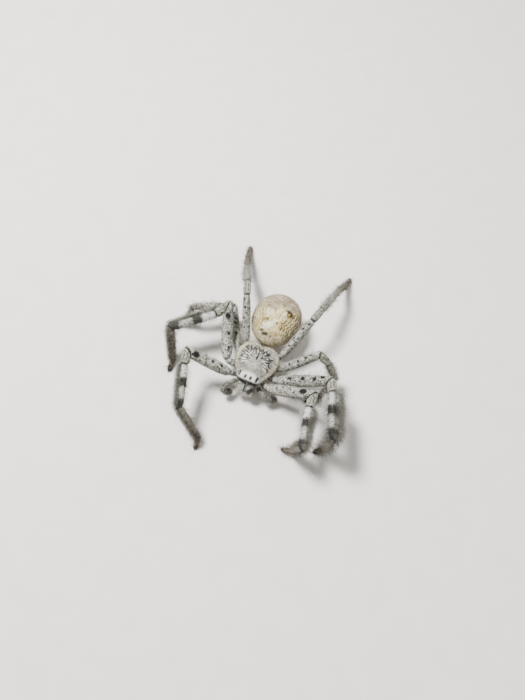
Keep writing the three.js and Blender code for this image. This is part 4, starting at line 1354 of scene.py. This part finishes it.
# %% Palps
PALP_RADIUS = 0.58
PALP_PATHS = {
    "right": (
        (-2.75, -5.2, 3.85), (-3.4, -6.2, 4.5), (-4.5, -7.9, 5.1), (-5.05, -8.9, 4.4),
        (-4.8, -9.0, 3.3), (-4.0, -8.6, 2.5), (-3.2, -8.2, 2.0),
    ),
    "left": (
        (2.75, -5.2, 3.85), (3.5, -5.95, 4.3), (4.9, -6.75, 4.3), (5.8, -6.9, 3.7),
        (6.4, -6.6, 2.9), (7.1, -6.1, 2.4), (7.8, -5.7, 2.1),
    ),
}
PALP_SIZES = (0.75, 0.9, 1.0, 0.95, 1.2, 1.15, 0.6)
PALP_JOINTS = (0.16, 0.4, 0.56, 0.72)
palp_groups = []
dice = np.random.default_rng(51)
for side_name, places in PALP_PATHS.items():
    t = np.linspace(0, 1, 90)
    path = through(places, t)
    radii = PALP_RADIUS * through(np.array(PALP_SIZES)[:, None], t, 0.0)[:, 0] - 0.06
    for joint in PALP_JOINTS:
        radii *= 1 - 0.14 * np.exp(-((t - joint) / 0.012) ** 2)
    radii *= np.sqrt(np.clip(t / 0.02, 0, 1)) * np.sqrt(np.clip((1 - t) / 0.06, 0, 1))
    points = tube(path, radii, radii, 32)
    zero = np.zeros(points.shape[:2])
    club = smooth(0.66, 0.8, t)[:, None] + zero
    lines = np.max([np.exp(-((t - joint) / 0.014) ** 2) for joint in PALP_JOINTS], axis=0)
    tip = smooth(0.86, 0.97, t)[:, None] + zero
    # The under mark, which paints shade on the legs, is laid evenly over the palps at 0.3 and darkens them
    # all over
    marks = {
        "dark": 0.1 * tip, "line": lines[:, None] + zero, "white": zero, "warm": 0.4 * club,
        "green": zero, "under": 0.3 + zero,
    }
    palp = make_skin(f"palp_skin_{side_name}", points, marks, leg_velvet)
    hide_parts(f"palp_{side_name}")
    along = unit(np.gradient(path, axis=0))
    surface = coat_base(points, marks, along[:, None])
    palp_groups += [
        grow(surface, zero + 1, 3600, dice, length=0.38, width=0.034, lift=24),
        grow(surface, club + 0.15, 1600, dice, length=0.75, width=0.034, lift=46, droop=0.05),
    ]
coat = hair_piece("palp_coat", palp_groups, leg_hair)

# %% [markdown]
# ## Underside, waist and spinnerets
# These parts are seen only from below and behind. The sternum is a shield-shaped plate between
# the legs, the pedicel a narrow waist, and the spinnerets a group of short tubes on a low mound.

# %% Sternum
STERNUM_HALF = (
    (0, -4.75), (1.5, -4.65), (1.75, -4.15), (1.6, -3.6), (2.0, -2.4), (2.15, 0), (1.85, 2.2),
    (1.1, 3.1), (0, 3.3),
)
STERNUM_MIDDLE = -0.6
STERNUM_UNDERSIDE = 3.7
# The bare lip in front is set off by a line across, and a short one parts it
LIP_LINES = ((-1.6, -3.62, 1.6, -3.62, 0.16), (0, -4.7, 0, -3.7, 0.12))


def underside_colour(tree):
    cuticle = blended(tree, grain(tree, 0.5), linear("#A79A84"), linear("#7F735F"))
    return blended(tree, marking(tree, "dark"), cuticle, linear("#3A322A"))


underside_velvet = finish("brown_underside_cuticle", underside_colour, 0.75, pile_bump, specular=0.25)
underside_hair = finish("underside_hair", hair_colour_of(underside_colour), 0.65, specular=0.3)
outline = closed_outline(STERNUM_HALF, 96)
rows = []
for share, rise in (
    (0, 0.02), (0.3, 0.02), (0.55, 0.06), (0.75, 0.12), (0.88, 0.25), (0.96, 0.42), (0.98, 0.55),
    (0.96, 0.7), (0.9, 0.95), (0.8, 1.3), (0.68, 1.72), (0.3, 1.76), (0, 1.76),
):
    ring = outline * share + [0, STERNUM_MIDDLE * (1 - share)]
    rows.append(np.column_stack([ring, np.full(len(ring), STERNUM_UNDERSIDE + rise + 0.05)]))
points = np.array(rows)
x, y = points[..., 0], points[..., 1]
marks = {"dark": np.max([stroke(x, y, line, width) for *line, width in LIP_LINES], axis=0)}
sternum = make_skin("sternum_skin", points, marks, underside_velvet)
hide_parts("sternum")
surface = coat_base(points, marks, BACKWARD)
below = (surface["normals"][..., 2] < 0.3) * 1.0
dice = np.random.default_rng(61)
coat = hair_piece("sternum_coat", [
    grow(surface, below + LEAST, 3000, dice, length=0.4, width=0.03, lift=28),
], underside_hair)

# %% Waist and spinnerets
waist_t = np.linspace(0, 1, 24)
waist_path = through([(0, 3.65, 4.9), (0, 4.3, 5.0), (0, 5.1, 5.15)], waist_t)
waist_wide = np.interp(waist_t, (0, 0.04, 0.5, 0.96, 1), (0, 0.68, 0.7, 0.7, 0))
waist_high = np.interp(waist_t, (0, 0.04, 0.5, 0.96, 1), (0, 0.4, 0.68, 0.68, 0))
points = tube(waist_path, waist_wide, waist_high, 28)
marks = {"dark": np.zeros(points.shape[:2])}
waist = make_skin("pedicel_skin", points, marks, underside_velvet)
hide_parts("pedicel")

SPINNERET_ROOT = np.array(ABDOMEN_CENTRE) + [0.0, 6.93, -2.44]
SPINNERET_TILT = math.radians(42)


def spinneret_place(across, up, out):
    """A point across, up and out from the root of the spinnerets, which lean down and back."""
    back = up * math.sin(SPINNERET_TILT) + out * math.cos(SPINNERET_TILT)
    rise = up * math.cos(SPINNERET_TILT) - out * math.sin(SPINNERET_TILT)
    return SPINNERET_ROOT + [across, back, rise]


silk_tubes = [(spinneret_place(0, 0, -0.5), spinneret_place(0, 0, 0.45), 0.9, 0.55)]
for x, z, share in ((0.5, 0.2, 1), (-0.5, 0.2, 1), (0.42, -0.25, 0.8), (-0.42, -0.25, 0.8)):
    start = spinneret_place(x, z, 0.1)
    end = spinneret_place(1.25 * x, 1.2 * z, 0.12 + 1.1 * share)
    silk_tubes.append((start, end, 0.35, 0.35))
spinneret_groups = []
for number, (start, end, wide, high) in enumerate(silk_tubes):
    t = np.linspace(0, 1, 20)
    path = np.array(start) + t[:, None] * (np.array(end) - np.array(start))
    profile = np.interp(t, (0, 0.06, 0.7, 0.93, 1), (0, 1, 0.8, 0.55, 0))
    points = tube(path, wide * profile, high * profile, 24)
    marks = {"dark": 0.5 * smooth(0.7, 0.9, t)[:, None] + np.zeros(points.shape[:2])}
    silk_tube = make_skin(f"spinneret_skin_{number}", points, marks, underside_velvet)
    if number == 0:
        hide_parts("spinnerets")
    surface = coat_base(points, marks, BACKWARD)
    dice = np.random.default_rng(70 + number)
    spinneret_groups.append(
        grow(surface, 1 + marks["dark"], 260, dice, length=0.35, width=0.03, lift=20)
    )
coat = hair_piece("spinneret_coat", spinneret_groups, underside_hair)

# %% [markdown]
# ## Floor and light
# The spider stands on a plain pale floor under three soft lamps. The brightest lamp is the
# smallest and stands high on the left of the picture, so that shadows fall to the right. The
# other two are broad and only fill.

# %% Floor
FLOOR_HALF = 0.6


def floor_colour(tree):
    return blended(tree, grain(tree, 6.0), linear("#E9E5DF"), linear("#E5E1DA"))


floor_paper = finish("pale_matt_card", floor_colour, 0.9, specular=0.2)
shape = bmesh.new()
bmesh.ops.create_grid(shape, x_segments=1, y_segments=1, size=FLOOR_HALF)
floor_mesh = bpy.data.meshes.new("floor")
shape.to_mesh(floor_mesh)
shape.free()
floor_mesh.materials.append(floor_paper)
floor = bpy.data.objects.new("floor", floor_mesh)
bpy.context.scene.collection.objects.link(floor)
print("the floor is", 2 * FLOOR_HALF, "m wide")

# %% Lights
# Place and side in metres, and power in watts
LAMPS = {
    "key": ((-0.18, 0.03, 0.36), 0.1, 4.6),
    "fill": ((0.34, -0.22, 0.3), 0.3, 0.9),
    "back": ((0.05, 0.45, 0.3), 0.3, 0.8),
}
for name, (place, size, watts) in LAMPS.items():
    lamp_data = bpy.data.lights.new(name, "AREA")
    lamp_data.size = size
    lamp_data.energy = watts
    lamp = bpy.data.objects.new(name, lamp_data)
    lamp.location = place
    lamp.rotation_euler = (-Vector(place)).to_track_quat("-Z", "Y").to_euler()
    bpy.context.scene.collection.objects.link(lamp)
SKY_STRENGTH = 0.32
sky = bpy.data.worlds.new("studio")
sky.use_nodes = True
sky.node_tree.nodes["Background"].inputs["Color"].default_value = linear("#F4F2EE")
sky.node_tree.nodes["Background"].inputs["Strength"].default_value = SKY_STRENGTH
bpy.context.scene.world = sky
print("lamps:", ", ".join(LAMPS))
